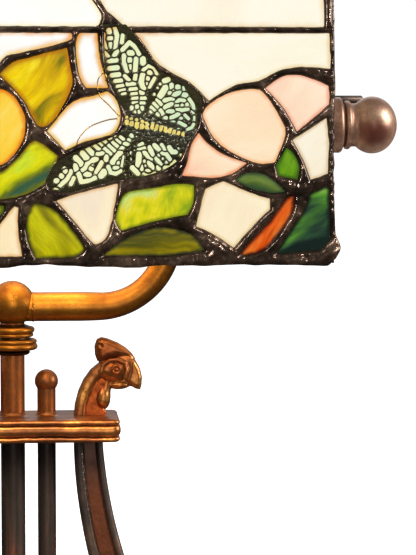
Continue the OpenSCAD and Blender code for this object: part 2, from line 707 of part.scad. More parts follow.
felt_pad();
bottom_cover();
counterweight();
base_plinth();
cover_screws();
cord_gland();
column_nut();
column();
finial_rods();
foot_screws();
leg(-1);  // leg_left
leg(1);  // leg_right
bridge_plate();
bridge_screws();
bird_head(-1);  // bird_head_left
bird_head(1);  // bird_head_right
column_rings();
hub_ball();
arm(-1);  // arm_left
arm(1);  // arm_right
upright_tees();
pivot_shaft(-1);  // pivot_shaft_left
pivot_shaft(1);  // pivot_shaft_right
lampholder();
bulb_cap();
bulb_glass();
front_came();
butterfly_filigree();
glass_cream();
glass_white();
glass_pink();
glass_orange();
glass_yellow_leaf();
glass_green_leaf();
glass_red_leaf();
glass_butterfly();
rear_came();
rear_glass_cream();
rear_glass_green();
top_ribs();
top_rails();
top_glass();
end_came(-1);  // end_came_left
end_came(1);  // end_came_right
end_glass();
pivot_boss(-1);  // pivot_boss_left
pivot_boss(1);  // pivot_boss_right
boss_nuts();
friction_washers();
finger_bars();
knob(-1);  // knob_left
knob(1);  // knob_right
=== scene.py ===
"""Looks of a stained glass table lamp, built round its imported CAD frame.

Meshes are made in millimetres; lights and camera are placed in metres."""
import json
import math

import bpy
import numpy as np
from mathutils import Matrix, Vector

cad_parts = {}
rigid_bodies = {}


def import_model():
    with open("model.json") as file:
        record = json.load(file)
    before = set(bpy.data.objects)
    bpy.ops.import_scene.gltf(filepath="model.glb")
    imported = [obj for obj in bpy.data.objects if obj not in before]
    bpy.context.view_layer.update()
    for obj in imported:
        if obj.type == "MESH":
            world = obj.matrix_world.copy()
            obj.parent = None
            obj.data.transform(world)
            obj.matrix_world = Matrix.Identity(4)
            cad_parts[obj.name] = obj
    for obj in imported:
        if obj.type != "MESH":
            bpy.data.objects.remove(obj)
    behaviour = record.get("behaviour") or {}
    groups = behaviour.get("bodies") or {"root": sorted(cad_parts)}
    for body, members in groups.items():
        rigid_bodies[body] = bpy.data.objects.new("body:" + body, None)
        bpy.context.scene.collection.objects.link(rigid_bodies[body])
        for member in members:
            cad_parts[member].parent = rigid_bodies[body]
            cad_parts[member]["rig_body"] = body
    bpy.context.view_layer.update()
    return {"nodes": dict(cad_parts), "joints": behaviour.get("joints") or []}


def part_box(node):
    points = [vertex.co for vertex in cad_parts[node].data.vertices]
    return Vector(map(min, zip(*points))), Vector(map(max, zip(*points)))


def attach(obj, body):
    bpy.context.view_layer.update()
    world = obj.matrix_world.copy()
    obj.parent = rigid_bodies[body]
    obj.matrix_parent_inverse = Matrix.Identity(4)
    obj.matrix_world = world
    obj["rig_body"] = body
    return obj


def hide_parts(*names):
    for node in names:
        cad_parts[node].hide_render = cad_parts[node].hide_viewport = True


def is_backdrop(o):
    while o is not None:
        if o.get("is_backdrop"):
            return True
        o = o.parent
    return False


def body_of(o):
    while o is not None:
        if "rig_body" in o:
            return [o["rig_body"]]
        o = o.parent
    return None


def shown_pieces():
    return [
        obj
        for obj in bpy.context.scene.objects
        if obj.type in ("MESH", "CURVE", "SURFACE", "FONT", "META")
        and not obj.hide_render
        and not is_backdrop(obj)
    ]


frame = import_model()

import openvdb
from mathutils import Vector

MM = 0.001
SIDES = ((-1, "left"), (1, "right"))


# ---------------------------------------------------------------- the frame, in millimetres
def box_mm(node):
    lo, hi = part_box(node)
    return np.array(lo) / MM, np.array(hi) / MM


PIVOT_Z = next(j["pos_m"][2] for j in frame["joints"] if j["name"] == "shade_tilt") / MM
PANEL_LO, PANEL_HI = box_mm("front_came")
TOP_HI = box_mm("top_ribs")[1]
BRIDGE_LO, BRIDGE_HI = box_mm("bridge_plate")
PLINTH_HI = box_mm("base_plinth")[1]
BULB_END_TO_MIDDLE = 22.5
BULB = np.array([box_mm("bulb_glass")[1][0] - BULB_END_TO_MIDDLE, 0.0, PIVOT_Z])
HALF_X = PANEL_HI[0]
CAME = PANEL_HI[1] - PANEL_LO[1]
MID_Y = -(PANEL_LO[1] + CAME / 2)
FOLD_Z = PANEL_HI[2]
DROP = PANEL_LO[2] - PIVOT_Z
CROWN = TOP_HI[2] - FOLD_Z - CAME / 2
GLASS_T = 3.0
FLOOR_GAP, FLOOR_HALF = 0.0004, 6.0


# ---------------------------------------------------------------- small numeric helpers
def linear(hex_colour):
    """A web colour as linear RGB."""
    c = np.array([int(hex_colour[i:i + 2], 16) / 255 for i in (1, 3, 5)])
    return np.where(c <= 0.04045, c / 12.92, ((c + 0.055) / 1.055) ** 2.4)


def tones(text):
    """Several web colours, written one after another, as linear RGB."""
    return [linear(word) for word in text.split()]


def smooth(t):
    t = np.clip(t, 0, 1)
    return t * t * (3 - 2 * t)


def dome(t):
    """Rises from 0 like a quarter of a circle, and stays at 1 from t = 1 on."""
    return np.sqrt(1 - (1 - np.clip(t, 0, 1)) ** 2)


def wobble(u, v, size, seed):
    """Smooth random values from -1 to 1 over a plane, with features about size wide."""
    n = 97
    table = np.random.RandomState(seed).rand(n, n) * 2 - 1
    a, b = np.asarray(u) / size + 500.3, np.asarray(v) / size + 500.7
    i, j = np.floor(a).astype(int), np.floor(b).astype(int)
    s, t = smooth(a - i), smooth(b - j)
    pick = lambda p, q: table[p % n, q % n]
    return (pick(i, j) * (1 - s) * (1 - t) + pick(i + 1, j) * s * (1 - t)
            + pick(i, j + 1) * (1 - s) * t + pick(i + 1, j + 1) * s * t)


def layered(u, v, size, seed, octaves):
    """Wobbles of ever smaller size and height, added up."""
    return sum(wobble(u, v, size / 2 ** k, seed + k) / 2 ** k for k in range(octaves)) / 1.6


def segment_distance(u, v, a, b):
    a, b = np.asarray(a, float), np.asarray(b, float)
    d = b - a
    t = np.clip(((u - a[0]) * d[0] + (v - a[1]) * d[1]) / max(d @ d, 1e-12), 0, 1)
    return np.hypot(u - a[0] - t * d[0], v - a[1] - t * d[1])


def stroke_distance(u, v, points):
    pairs = zip(points[:-1], points[1:]) if len(points) > 1 else [(points[0], points[0])]
    return np.min([segment_distance(u, v, a, b) for a, b in pairs], axis=0)


def loop_distance(u, v, loop):
    """Distance to a closed outline, negative inside it."""
    loop = np.asarray(loop, float)
    best, inside = np.full(np.shape(u), 1e9), np.zeros(np.shape(u), bool)
    for a, b in zip(loop, np.roll(loop, -1, axis=0)):
        best = np.minimum(best, segment_distance(u, v, a, b))
        if a[1] != b[1]:
            cross = a[0] + (v - a[1]) * (b[0] - a[0]) / (b[1] - a[1])
            inside ^= ((v >= min(a[1], b[1])) & (v < max(a[1], b[1])) & (u < cross))
    return np.where(inside, -best, best)


# ---------------------------------------------------------------- meshes
def add_piece(name, co, faces, body, slot_name, material, replaced=(), attributes=None, sharp=None):
    """Makes a piece from millimetre points and faces, and gives it its body and material; its slot name is
    not used.
    """
    mesh = bpy.data.meshes.new(name)
    mesh.from_pydata((np.asarray(co) * MM).tolist(), [], [list(map(int, f)) for f in faces], shade_flat=False)
    mesh.update()
    for key, values in (attributes or {}).items():
        values = np.asarray(values, np.float32)
        if values.ndim == 1:
            mesh.attributes.new(key, "FLOAT", "POINT").data.foreach_set("value", values)
        elif values.shape[1] == 2:
            flow = np.column_stack([values, np.zeros(len(values))]).astype(np.float32)
            mesh.attributes.new(key, "FLOAT_VECTOR", "POINT").data.foreach_set("vector", flow.ravel())
        else:
            rgba = np.column_stack([values, np.ones(len(values))]).astype(np.float32)
            mesh.attributes.new(key, "FLOAT_COLOR", "POINT").data.foreach_set("color", rgba.ravel())
    if sharp:
        mesh.set_sharp_from_angle(angle=math.radians(sharp))
    piece = bpy.data.objects.new(name, mesh)
    bpy.context.scene.collection.objects.link(piece)
    mesh.materials.append(material)
    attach(piece, body)
    if replaced:
        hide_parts(*replaced)
    return piece


def slab(U, V, keep, front, back, place):
    """A closed skin over the kept cells of a grid, between two height fields.

    Returns its points, its faces, and where each point lies on the grid."""
    i, j = np.nonzero(keep)
    index = np.full(U.shape, -1)
    for a, b in ((0, 0), (1, 0), (1, 1), (0, 1)):
        index[i + a, j + b] = 0
    pi, pj = np.nonzero(index == 0)
    n = len(pi)
    index[pi, pj] = np.arange(n)
    u, v = U[pi, pj], V[pi, pj]
    co = np.concatenate([place(u, v, front[pi, pj]), place(u, v, back[pi, pj])])
    a, b, c, d = index[i, j], index[i + 1, j], index[i + 1, j + 1], index[i, j + 1]
    faces = [np.column_stack([a, b, c, d]), np.column_stack([d, c, b, a]) + n]
    padded = np.pad(keep, 1)
    for p, q, di, dj in ((a, b, 0, -1), (b, c, 1, 0), (c, d, 0, 1), (d, a, -1, 0)):
        open_side = ~padded[i + 1 + di, j + 1 + dj]
        p, q = p[open_side], q[open_side]
        faces.append(np.column_stack([p, p + n, q + n, q]))
    return co, np.concatenate(faces), (np.tile(u, 2), np.tile(v, 2))


def ring_faces(rings, sides):
    """Faces of a closed stack of rings."""
    faces = []
    for r in range(rings - 1):
        for s in range(sides):
            t = (s + 1) % sides
            faces.append((r * sides + s, r * sides + t, (r + 1) * sides + t, (r + 1) * sides + s))
    faces.append(tuple(reversed(range(sides))))
    faces.append(tuple(range((rings - 1) * sides, rings * sides)))
    return faces


def lathe(profile, origin, axis, sides):
    """A solid turned about X or Z, from [distance along the axis, radius] points."""
    co = []
    for along, r in profile:
        for k in range(sides):
            a = 2 * math.pi * k / sides
            p = (r * math.cos(a), r * math.sin(a), along)
            co.append(p if axis == "z" else (along, -p[1], p[0]))
    return np.array(co) + np.array(origin), ring_faces(len(profile), sides)


def tube(path, radii, sides):
    """A round tube along a path in a vertical plane, with a radius at each point."""
    path = np.array(path, float)
    tangents = np.gradient(path, axis=0)
    tangents /= np.linalg.norm(tangents, axis=1)[:, None]
    co = []
    for p, t, r in zip(path, tangents, radii):
        n = np.array([t[2], 0, -t[0]])
        for k in range(sides):
            a = 2 * math.pi * k / sides
            co.append(p + r * (math.cos(a) * n + math.sin(a) * np.array([0, 1, 0])))
    return np.array(co), ring_faces(len(path), sides)


def moulding(profile, outline):
    """A solid whose side follows a profile of [inset, z] round an outline function of the inset."""
    rings = [np.column_stack([outline(inset), np.full(len(outline(inset)), z)]) for inset, z in profile]
    return np.concatenate(rings), ring_faces(len(rings), len(rings[0]))


def join(parts):
    """Points and faces of several meshes as one."""
    co, faces, offset = [], [], 0
    for points, polygons in parts:
        co.append(np.asarray(points))
        faces += [tuple(int(i) + offset for i in f) for f in polygons]
        offset += len(points)
    return np.concatenate(co), faces


def mirrored(points, faces, side):
    """The same mesh, or its mirror image in X for the left side."""
    if side > 0:
        return points, faces
    return points * (-1, 1, 1), [tuple(reversed(f)) for f in faces]


def arc(cx, cy, r, a, b, n):
    return [(cx + r * math.cos(math.radians(a + (b - a) * k / n)),
             cy + r * math.sin(math.radians(a + (b - a) * k / n))) for k in range(n + 1)]


def sculpt(field, lo, hi, voxel):
    """Meshes the zero surface of a distance field given over a box."""
    axes = [np.arange(a, b + voxel, voxel) for a, b in zip(lo, hi)]
    X, Y, Z = np.meshgrid(*axes, indexing="ij")
    grid = openvdb.FloatGrid(4.0)
    grid.copyFromArray(np.minimum(field(X, Y, Z), 3.9).astype(np.float32))
    points, quads = grid.convertToQuads(isovalue=0.0)
    return points * voxel + np.array(lo), quads[:, ::-1]


def blend_min(a, b, k):
    """Union of two distance fields with a fillet about k wide."""
    h = np.clip(0.5 + 0.5 * (b - a) / k, 0, 1)
    return b * (1 - h) + a * h - k * h * (1 - h)


def blend_cut(a, b, k):
    return -blend_min(-a, b, k)


def plate_field(flat, y, half, r):
    """A plate with rounded edges from a flat distance field."""
    p, q = flat + r, np.abs(y) - half + r
    return np.minimum(np.maximum(p, q), 0) + np.hypot(np.maximum(p, 0), np.maximum(q, 0)) - r


def rod_field(X, Y, Z, a, b, ra, rb):
    a, b = np.array(a, float), np.array(b, float)
    d = b - a
    t = np.clip(((X - a[0]) * d[0] + (Y - a[1]) * d[1] + (Z - a[2]) * d[2]) / max(d @ d, 1e-12), 0, 1)
    away = np.sqrt((X - a[0] - t * d[0]) ** 2 + (Y - a[1] - t * d[1]) ** 2 + (Z - a[2] - t * d[2]) ** 2)
    return away - (ra + (rb - ra) * t)


def egg_field(X, Y, Z, centre, radii):
    p = np.sqrt(sum(((A - c) / r) ** 2 for A, c, r in zip((X, Y, Z), centre, radii)))
    return (p - 1) * min(radii)


# ---------------------------------------------------------------- materials
class Nodes:
    """A short way to write a node tree."""

    def __init__(self, name):
        self.material = bpy.data.materials.new(name)
        self.material.use_nodes = True
        self.tree = self.material.node_tree
        self.shader = self.tree.nodes["Principled BSDF"]

    def add(self, kind, **values):
        node = self.tree.nodes.new(kind)
        for key, value in values.items():
            if hasattr(node, key):
                setattr(node, key, value)
            else:
                node.inputs[key.replace("_", " ")].default_value = value
        return node

    def link(self, source, target):
        self.tree.links.new(source, target)

    def attribute(self, name, output):
        return self.add("ShaderNodeAttribute", attribute_name=name).outputs[output]

    def coords(self, scale=(1, 1, 1), attribute=None):
        if attribute:
            source = self.attribute(attribute, "Vector")
        else:
            source = self.add("ShaderNodeTexCoord").outputs["Object"]
        mapping = self.add("ShaderNodeMapping")
        mapping.inputs["Scale"].default_value = scale
        self.link(source, mapping.inputs["Vector"])
        return mapping.outputs["Vector"]

    def noise(self, vector, scale, detail, roughness=0.55, distortion=0.0):
        node = self.add("ShaderNodeTexNoise", Scale=scale, Detail=detail, Roughness=roughness,
                        Distortion=distortion)
        self.link(vector, node.inputs["Vector"])
        return node.outputs["Fac"]

    def ramp(self, value, stops):
        """Colours by value, from pairs of a place and a linear colour."""
        node, stops = self.add("ShaderNodeValToRGB"), list(stops)
        ramp = node.color_ramp
        while len(ramp.elements) < len(stops):
            ramp.elements.new(0.5)
        for element, (place, colour) in zip(ramp.elements, stops):
            element.position = place
            element.color = (*colour, 1)
        self.link(value, node.inputs["Fac"])
        return node.outputs["Color"]

    def mix(self, factor, a, b, mode="MIX"):
        node = self.add("ShaderNodeMix", data_type="RGBA", blend_type=mode)
        for socket, value in ((node.inputs[0], factor), (node.inputs[6], a), (node.inputs[7], b)):
            if hasattr(value, "links"):
                self.link(value, socket)
            elif isinstance(value, (int, float)):
                socket.default_value = value
            else:
                socket.default_value = (*value, 1)
        return node.outputs[2]

    def height(self, start, end):
        """Height above the floor, as 0 at start to 1 at end (mm)."""
        split = self.add("ShaderNodeSeparateXYZ")
        node = self.add("ShaderNodeMapRange", From_Min=start * MM, From_Max=end * MM)
        self.link(self.coords(), split.inputs["Vector"])
        self.link(split.outputs["Z"], node.inputs["Value"])
        return node.outputs["Result"]

    def bump(self, height, strength, distance, after=None):
        node = self.add("ShaderNodeBump", Strength=strength, Distance=distance)
        self.link(height, node.inputs["Height"])
        if after is not None:
            self.link(after, node.inputs["Normal"])
        return node.outputs["Normal"]

    def set(self, **values):
        for key, value in values.items():
            socket = self.shader.inputs[key.replace("_", " ")]
            if hasattr(value, "links"):
                self.link(value, socket)
            else:
                socket.default_value = (*value, 1) if isinstance(value, (tuple, list, np.ndarray)) else value


def grey(v):
    return (v, v, v)


# How far below the bridge the painted shadow reaches, in millimetres.
UNDER_BRIDGE_SHADOW_DROP = 24


def solder():
    """Dark patinated solder: shiny lumps over a brown-black skin, with a painted glow, browner and self-lit,
    where the lamp glows past it.
    """
    m = Nodes("solder_patina")
    at = m.coords()
    patch = m.noise(at, 130, 5, 0.6)
    fine = m.noise(at, 900, 3, 0.6)
    colour = m.ramp(patch, zip((0.34, 0.55, 0.72), tones("#1c140e #382a20 #5e4c3e")))
    # Painted glow from the lamp: the solder turns browner and gives off a warm light.
    warm = m.attribute("heat", "Fac")
    m.set(Base_Color=m.mix(warm, colour, linear("#7a4a18")), Metallic=0.8,
          Roughness=m.ramp(patch, [(0.3, grey(0.14)), (0.7, grey(0.28))]),
          Normal=m.bump(fine, 0.12, 0.0003, m.bump(patch, 0.35, 0.0008)),
          Emission_Color=m.mix(warm, (0, 0, 0), linear("#c48028")), Emission_Strength=1.0)
    return m.material


def art_glass(name, contrast):
    """Opalescent glass with a painted glow, as if lit from behind: its colours and glow come with the mesh,
    and fine streaks follow its grain.
    """
    m = Nodes(name)
    flow = m.coords((0.25, 1.6, 1), attribute="flow")
    wisps = m.noise(flow, 0.9, 5, 0.6, 0.8)
    cloud = m.noise(m.coords(), 120, 4, 0.5)
    tint_and_glow = m.attribute("tint_and_glow", "Color")
    veil = m.ramp(wisps, [(0.32, grey(1 - contrast)), (0.62, grey(1.0))])
    lit = m.mix(1.0, tint_and_glow, veil, "MULTIPLY")
    # Painted glow: the glass gives off its own colours over a near-black base.
    m.set(Base_Color=m.mix(1.0, lit, grey(0.025), "MULTIPLY"), Roughness=0.12, Emission_Color=lit,
          Emission_Strength=0.97, Normal=m.bump(wisps, 0.12, 0.0006, m.bump(cloud, 0.22, 0.0008)))
    return m.material


def bronze(name, colours, rough, metal, brushed=0.0, low=None, rub_and_shade_colour=(0.4, 0.1, 0.02), under_bridge_shadow=0.0):
    """Antique bronze in patches of three tones, given from dark to bright.

    low are the three tones that take over below the bridge. The mesh can carry a mask that brings in one
    more given tone where it is 1: the metal's own colour on some pieces, painted shade and painted
    reflections on others.
    A painted shadow darkens the metal close under the bridge, as strongly as asked."""
    m = Nodes(name)
    dark, mid, bright = colours
    at = m.coords()
    cloud = m.noise(at, 55, 6, 0.62)
    speck = m.noise(at, 800, 4, 0.6)
    colour = m.ramp(cloud, [(0.3, dark), (0.5, mid), (0.7, bright)])
    if low is not None:
        streaks = m.noise(m.coords((1, 1, 0.07)), 260, 4, 0.6)
        under = m.ramp(streaks, [(0.35, low[0]), (0.55, low[1]), (0.72, low[2])])
        colour = m.mix(m.height(BRIDGE_LO[2], BRIDGE_HI[2]), under, colour)
    colour = m.mix(m.ramp(speck, [(0.45, grey(0.0)), (0.75, grey(0.5))]), colour, dark)
    # The mesh's mask brings in one more tone: the metal's own colour on the legs, birds and etched wings,
    # painted shade on the arms and collars, and a painted reflection on the knobs.
    wear_and_shade_tone = m.ramp(speck, [(0.4, np.array(rub_and_shade_colour) * 0.78), (0.62, np.array(rub_and_shade_colour) * 1.12)])
    colour = m.mix(m.attribute("rub_and_shade", "Fac"), colour, wear_and_shade_tone)
    # Painted shadow: the metal turns near black close under the bridge.
    if under_bridge_shadow:
        shade = [(0.0, grey(0.0)), (0.55, grey(under_bridge_shadow)), (0.68, grey(under_bridge_shadow)), (0.76, grey(0.0))]
        close = m.ramp(m.height(BRIDGE_LO[2] - UNDER_BRIDGE_SHADOW_DROP, BRIDGE_HI[2]), shade)
        colour = m.mix(close, colour, linear("#140d0a"))
    # Painted glints: pale specks where the mesh's mask asks for them.
    painted_specks = m.ramp(m.noise(at, 1500, 2, 0.5), [(0.6, grey(0.0)), (0.68, grey(1.0))])
    painted_glint = m.mix(m.attribute("painted_glint", "Fac"), grey(0.0), painted_specks)
    colour = m.mix(painted_glint, colour, linear("#e8dccc"))
    normal = m.bump(speck, 0.12, 0.0003, m.bump(cloud, 0.25, 0.001))
    if brushed:
        lines = m.noise(m.coords((1, 1, 60)), 22, 3, 0.6)
        normal = m.bump(lines, brushed, 0.0002, normal)
    gloss = m.ramp(cloud, [(0.3, grey(rough[1])), (0.7, grey(rough[0]))])
    m.set(Base_Color=colour, Metallic=metal, Roughness=gloss, Normal=normal, Specular_IOR_Level=0.35)
    return m.material


def simple(name, colour, metallic, roughness, scale, strength=0.1, **more):
    """A plain material with a little grain in its colour, gloss and surface."""
    m = Nodes(name)
    grain = m.noise(m.coords(), scale, 4)
    m.set(Base_Color=m.ramp(grain, [(0.3, np.array(colour) * 0.75), (0.7, colour)]), Metallic=metallic,
          Roughness=m.ramp(grain, [(0.3, grey(roughness)), (0.7, grey(min(1, roughness * 1.3)))]),
          Normal=m.bump(grain, strength, 0.0004), **more)
    return m.material


SOLDER = solder()
LOW_TONES = tones("#292623 #40352e #7a4028")
# Its near-black extra tone is painted shade, under the arms and between the collars.
GOLD_BRONZE = bronze("golden_bronze", tones("#74441a #a2641e #ba7a28"), (0.34, 0.4), 0.92,
                     rub_and_shade_colour=linear("#1a1310"))
HUB_BRONZE = bronze("hub_bronze", tones("#6a3e18 #94581a #aa6c20"), (0.36, 0.44), 0.92, 0.12)
BROWN_BRONZE = bronze("brown_bronze", tones("#482a1b #864e28 #b87c3c"), (0.26, 0.36), 0.88,
                      rub_and_shade_colour=linear("#8a4018"))
# The column, the rods and the legs get a painted shadow close under the bridge.
ROD_BRONZE = bronze("rod_bronze", tones("#4a2c18 #7c4218 #98581e"), (0.32, 0.42), 0.75, low=LOW_TONES,
                    under_bridge_shadow=0.85)
DARK_BRONZE = bronze("dark_bronze", tones("#26201d #40332b #5c4636"), (0.3, 0.42), 0.65,
                     rub_and_shade_colour=linear("#5c301a"), under_bridge_shadow=0.55)
# Its dark red extra tone is a painted reflection on the knob's ball.
KNOB_BRONZE = bronze("knob_bronze", tones("#503024 #846450 #a88c74"), (0.32, 0.42), 0.6,
                     rub_and_shade_colour=linear("#4c2016"))
STEEL = simple("plain_steel", linear("#a8a8aa"), 1.0, 0.3, 500)
BRASS = simple("holder_brass", linear("#d0a050"), 1.0, 0.22, 400)
RUBBER = simple("gland_rubber", linear("#1c1c1c"), 0.0, 0.6, 900)
FELT = simple("felt_cloth", linear("#16382a"), 0.0, 0.95, 2500, 0.8)
BULB_GLOW = simple("lit_bulb", linear("#fff0d0"), 0.0, 0.3, 60, 0.02, Emission_Color=linear("#ffd9a0"),
                   Emission_Strength=6.0)
GLASS_CLEAR = art_glass("opalescent_glass", 0.03)
GLASS_STREAKY = art_glass("streaky_glass", 0.2)
ETCHED = bronze("etched_plate", tones("#1c1a10 #2c2816 #403a22"), (0.24, 0.34), 0.75,
                rub_and_shade_colour=linear("#36342a"))


# ---------------------------------------------------------------- camera, world, lights and floor
def set_stage():
    scene = bpy.context.scene
    scene.view_settings.view_transform = "Standard"
    scene.view_settings.look = "None"
    camera = bpy.data.objects.new("camera", bpy.data.cameras.new("camera"))
    scene.collection.objects.link(camera)
    scene.camera = camera
    camera.data.lens = 157.7
    camera.data.sensor_width = 36
    camera.data.clip_end = 50
    camera.location = (0, -1.0, 0.304)
    target = Vector((0.08084, 0, 0.23056))
    camera.rotation_euler = (target - camera.location).to_track_quat("-Z", "Y").to_euler()

    world = bpy.data.worlds.new("studio")
    scene.world = world
    world.use_nodes = True
    tree = world.node_tree
    tree.nodes.clear()
    new, link = tree.nodes.new, tree.links.new
    out, seen, dim, pick = (new("ShaderNodeOutputWorld"), new("ShaderNodeBackground"),
                            new("ShaderNodeBackground"), new("ShaderNodeMixShader"))
    seen.inputs["Color"].default_value = (1, 1, 1, 1)
    seen.inputs["Strength"].default_value = 1.05
    dim.inputs["Strength"].default_value = 1.0
    place, split, ramp = new("ShaderNodeTexCoord"), new("ShaderNodeSeparateXYZ"), new("ShaderNodeValToRGB")
    link(place.outputs["Generated"], split.inputs["Vector"])
    lift = new("ShaderNodeMapRange")
    lift.inputs["From Min"].default_value, lift.inputs["From Max"].default_value = -1, 1
    link(split.outputs["Z"], lift.inputs["Value"])
    stops = [(0.0, 0.02), (0.42, 0.07), (0.52, 0.2), (0.75, 0.45), (1.0, 0.45)]
    while len(ramp.color_ramp.elements) < len(stops):
        ramp.color_ramp.elements.new(0.5)
    for element, (at, value) in zip(ramp.color_ramp.elements, stops):
        element.position, element.color = at, (value, value, value * 1.02, 1)
    link(lift.outputs["Result"], ramp.inputs["Fac"])
    link(ramp.outputs["Color"], dim.inputs["Color"])
    link(new("ShaderNodeLightPath").outputs["Is Camera Ray"], pick.inputs["Fac"])
    link(dim.outputs["Background"], pick.inputs[1])
    link(seen.outputs["Background"], pick.inputs[2])
    link(pick.outputs["Shader"], out.inputs["Surface"])


def area_light(name, location, target, size, power, colour=(1, 1, 1)):
    data = bpy.data.lights.new(name, "AREA")
    data.shape = "RECTANGLE"
    data.size, data.size_y = size
    data.energy, data.color = power, colour
    lamp = bpy.data.objects.new(name, data)
    bpy.context.scene.collection.objects.link(lamp)
    lamp.location = location
    lamp.rotation_euler = (Vector(target) - Vector(location)).to_track_quat("-Z", "Y").to_euler()
    return lamp


def set_lights():
    area_light("key", (-0.6, -1.0, 1.0), (0, 0, 0.25), (0.3, 0.3), 9)
    area_light("right", (1.03, -0.28, 0.69), (0.12, 0, 0.29), (0.55, 0.8), 26)
    area_light("back", (0.2, 1.1, 0.9), (0, 0, 0.25), (1.0, 0.6), 2)
    area_light("left", (-1.0, 0.1, 0.4), (0, 0, 0.2), (0.4, 0.7), 4)
    down = area_light("bulb_light", (0.02, 0, 0.262), (0.02, 0, 0), (0.17, 0.09), 0.07, (1.0, 0.72, 0.4))
    down.rotation_euler = (0, 0, 0)


def light_the_stand():
    """Soft lights on the bronze alone, and two small ones that make the leading sparkle."""
    metal, stand, leads = (bpy.data.collections.new(name) for name in ("metalwork", "stand", "leading"))
    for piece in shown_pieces():
        if body_of(piece) != ["shade"]:
            metal.objects.link(piece)
        if body_of(piece) == ["stand"]:
            stand.objects.link(piece)
        if "leading" in piece.name or "etched" in piece.name:
            leads.objects.link(piece)
    for name, place, size, power, colour, lit in (
            ("glow_on_stand", (-0.02, -0.55, 0.74), 0.16, 5.6, (1.0, 0.85, 0.58), stand),
            ("stand_light", (0.1, -1.2, 0.3), 0.5, 3.0, (1.0, 0.96, 0.92), metal)):
        soft = area_light(name, place, (0.02, 0, 0.2), (size, size), power, colour)
        soft.light_linking.receiver_collection = lit
        soft.light_linking.blocker_collection = metal
    for name, place, size, power in (("sparkle_left", (-0.9, -1.2, 0.55), 0.1, 22),
                                     ("sparkle_right", (0.8, -1.1, 0.75), 0.1, 18)):
        lamp = area_light(name, place, (0.05, 0, 0.27), (size, size), power)
        lamp.light_linking.receiver_collection = leads


def add_floor():
    m = Nodes("pale_floor")
    grain = m.noise(m.coords(), 900, 3)
    m.set(Base_Color=m.ramp(grain, [(0.3, grey(0.88)), (0.7, grey(0.92))]), Roughness=0.8,
          Emission_Color=(1, 1, 1), Emission_Strength=0.95)
    mesh = bpy.data.meshes.new("floor")
    corners = [(x * FLOOR_HALF, y * FLOOR_HALF, -FLOOR_GAP) for x, y in ((-1, -1), (1, -1), (1, 1), (-1, 1))]
    mesh.from_pydata(corners, [], [(0, 1, 2, 3)])
    mesh.materials.append(m.material)
    floor = bpy.data.objects.new("floor", mesh)
    bpy.context.scene.collection.objects.link(floor)
    floor.visible_glossy = False
    floor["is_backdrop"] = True


# ---------------------------------------------------------------- the outlines of the glass, from the frame
def cad_loops(node, axis, value):
    """Closed outlines of a node's faces at one value along an axis, as points on the other two axes."""
    mesh = frame["nodes"][node].data
    co = np.empty(len(mesh.vertices) * 3)
    mesh.vertices.foreach_get("co", co)
    co = co.reshape(-1, 3) / MM
    steps = 50
    keys = [tuple(k) for k in np.round(co * steps).astype(int)]
    edges = set()
    for polygon in mesh.polygons:
        ids = list(polygon.vertices)
        if all(abs(co[i][axis] - value) < 0.05 for i in ids):
            for a, b in zip(ids, ids[1:] + ids[:1]):
                a, b = keys[a], keys[b]
                if (b, a) in edges:
                    edges.remove((b, a))
                else:
                    edges.add((a, b))
    after = {}
    for a, b in edges:
        after[a] = b
    rest = [i for i in range(3) if i != axis]
    loops = []
    while after:
        start = min(after)
        loop, here = [start], after.pop(start)
        while here != start:
            loop.append(here)
            here = after.pop(here)
        loops.append(np.array(loop)[:, rest] / steps - (0, PIVOT_Z))
    return sorted(loops, key=lambda w: (round(w[:, 0].mean(), 1), round(w[:, 1].mean(), 1)))


def window_field(U, V, loops, margin=4.0):
    """Distance from the nearest window, up to margin, and negative inside one."""
    field = np.full(U.shape, margin)
    for loop in loops:
        lo, hi = loop.min(0) - margin, loop.max(0) + margin
        i = np.nonzero((U[:, 0] > lo[0]) & (U[:, 0] < hi[0]))[0]
        j = np.nonzero((V[0] > lo[1]) & (V[0] < hi[1]))[0]
        if len(i) and len(j):
            block = np.ix_(i, j)
            field[block] = np.minimum(field[block], loop_distance(U[block], V[block], loop))
    return field


SKIN = GLASS_T / 2
REACH = 1.45
RISE = 1.25


def solder_height(field, U, V, seed, edge=None):
    """Height of the solder above the middle of the leading: a lumpy bead, fuller at the joints."""
    field = field + 0.22 * layered(U, V, 3.6, seed + 21, 2)
    bead = dome(field / REACH)
    pool = 0.35 * smooth((field - REACH) / 2.0)
    lumps = 0.3 * layered(U, V, 3.6, seed, 2) + 0.2 * wobble(U, V, 1.5, seed + 9)
    height = SKIN + (RISE + lumps + pool) * bead
    height = np.where(field < 0, SKIN + 2.2 * field, height)
    if edge is not None:
        height = np.minimum(height, 0.4 + (RISE + SKIN + lumps) * dome(edge / 2.2))
    return height


def kept_cells(field, limit, outer=None):
    """Cells of a grid that have a corner above limit and, with an outer field, lie wholly inside it."""
    corner = np.maximum.reduce([field[:-1, :-1], field[1:, :-1], field[1:, 1:], field[:-1, 1:]])
    keep = corner > limit
    if outer is not None:
        keep &= np.minimum.reduce([outer[:-1, :-1], outer[1:, :-1], outer[1:, 1:], outer[:-1, 1:]]) > 0
    return keep


# ---------------------------------------------------------------- the four faces of the shade
ELLIPSE = np.linspace(0, math.pi, 721)
ELLIPSE_YZ = np.column_stack([-MID_Y * np.cos(ELLIPSE), FOLD_Z - PIVOT_Z + CROWN * np.sin(ELLIPSE)])
ARC = np.concatenate([[0], np.cumsum(np.hypot(*np.diff(ELLIPSE_YZ, axis=0).T))])
FOLD = FOLD_Z - PIVOT_Z


def front_place(u, v, h):
    return np.column_stack([u, -MID_Y - h, PIVOT_Z + v])


def rear_place(u, v, h):
    return np.column_stack([-u, MID_Y + h, PIVOT_Z + v])


def right_place(u, v, h):
    return np.column_stack([HALF_X - CAME / 2 + h, u, PIVOT_Z + v])


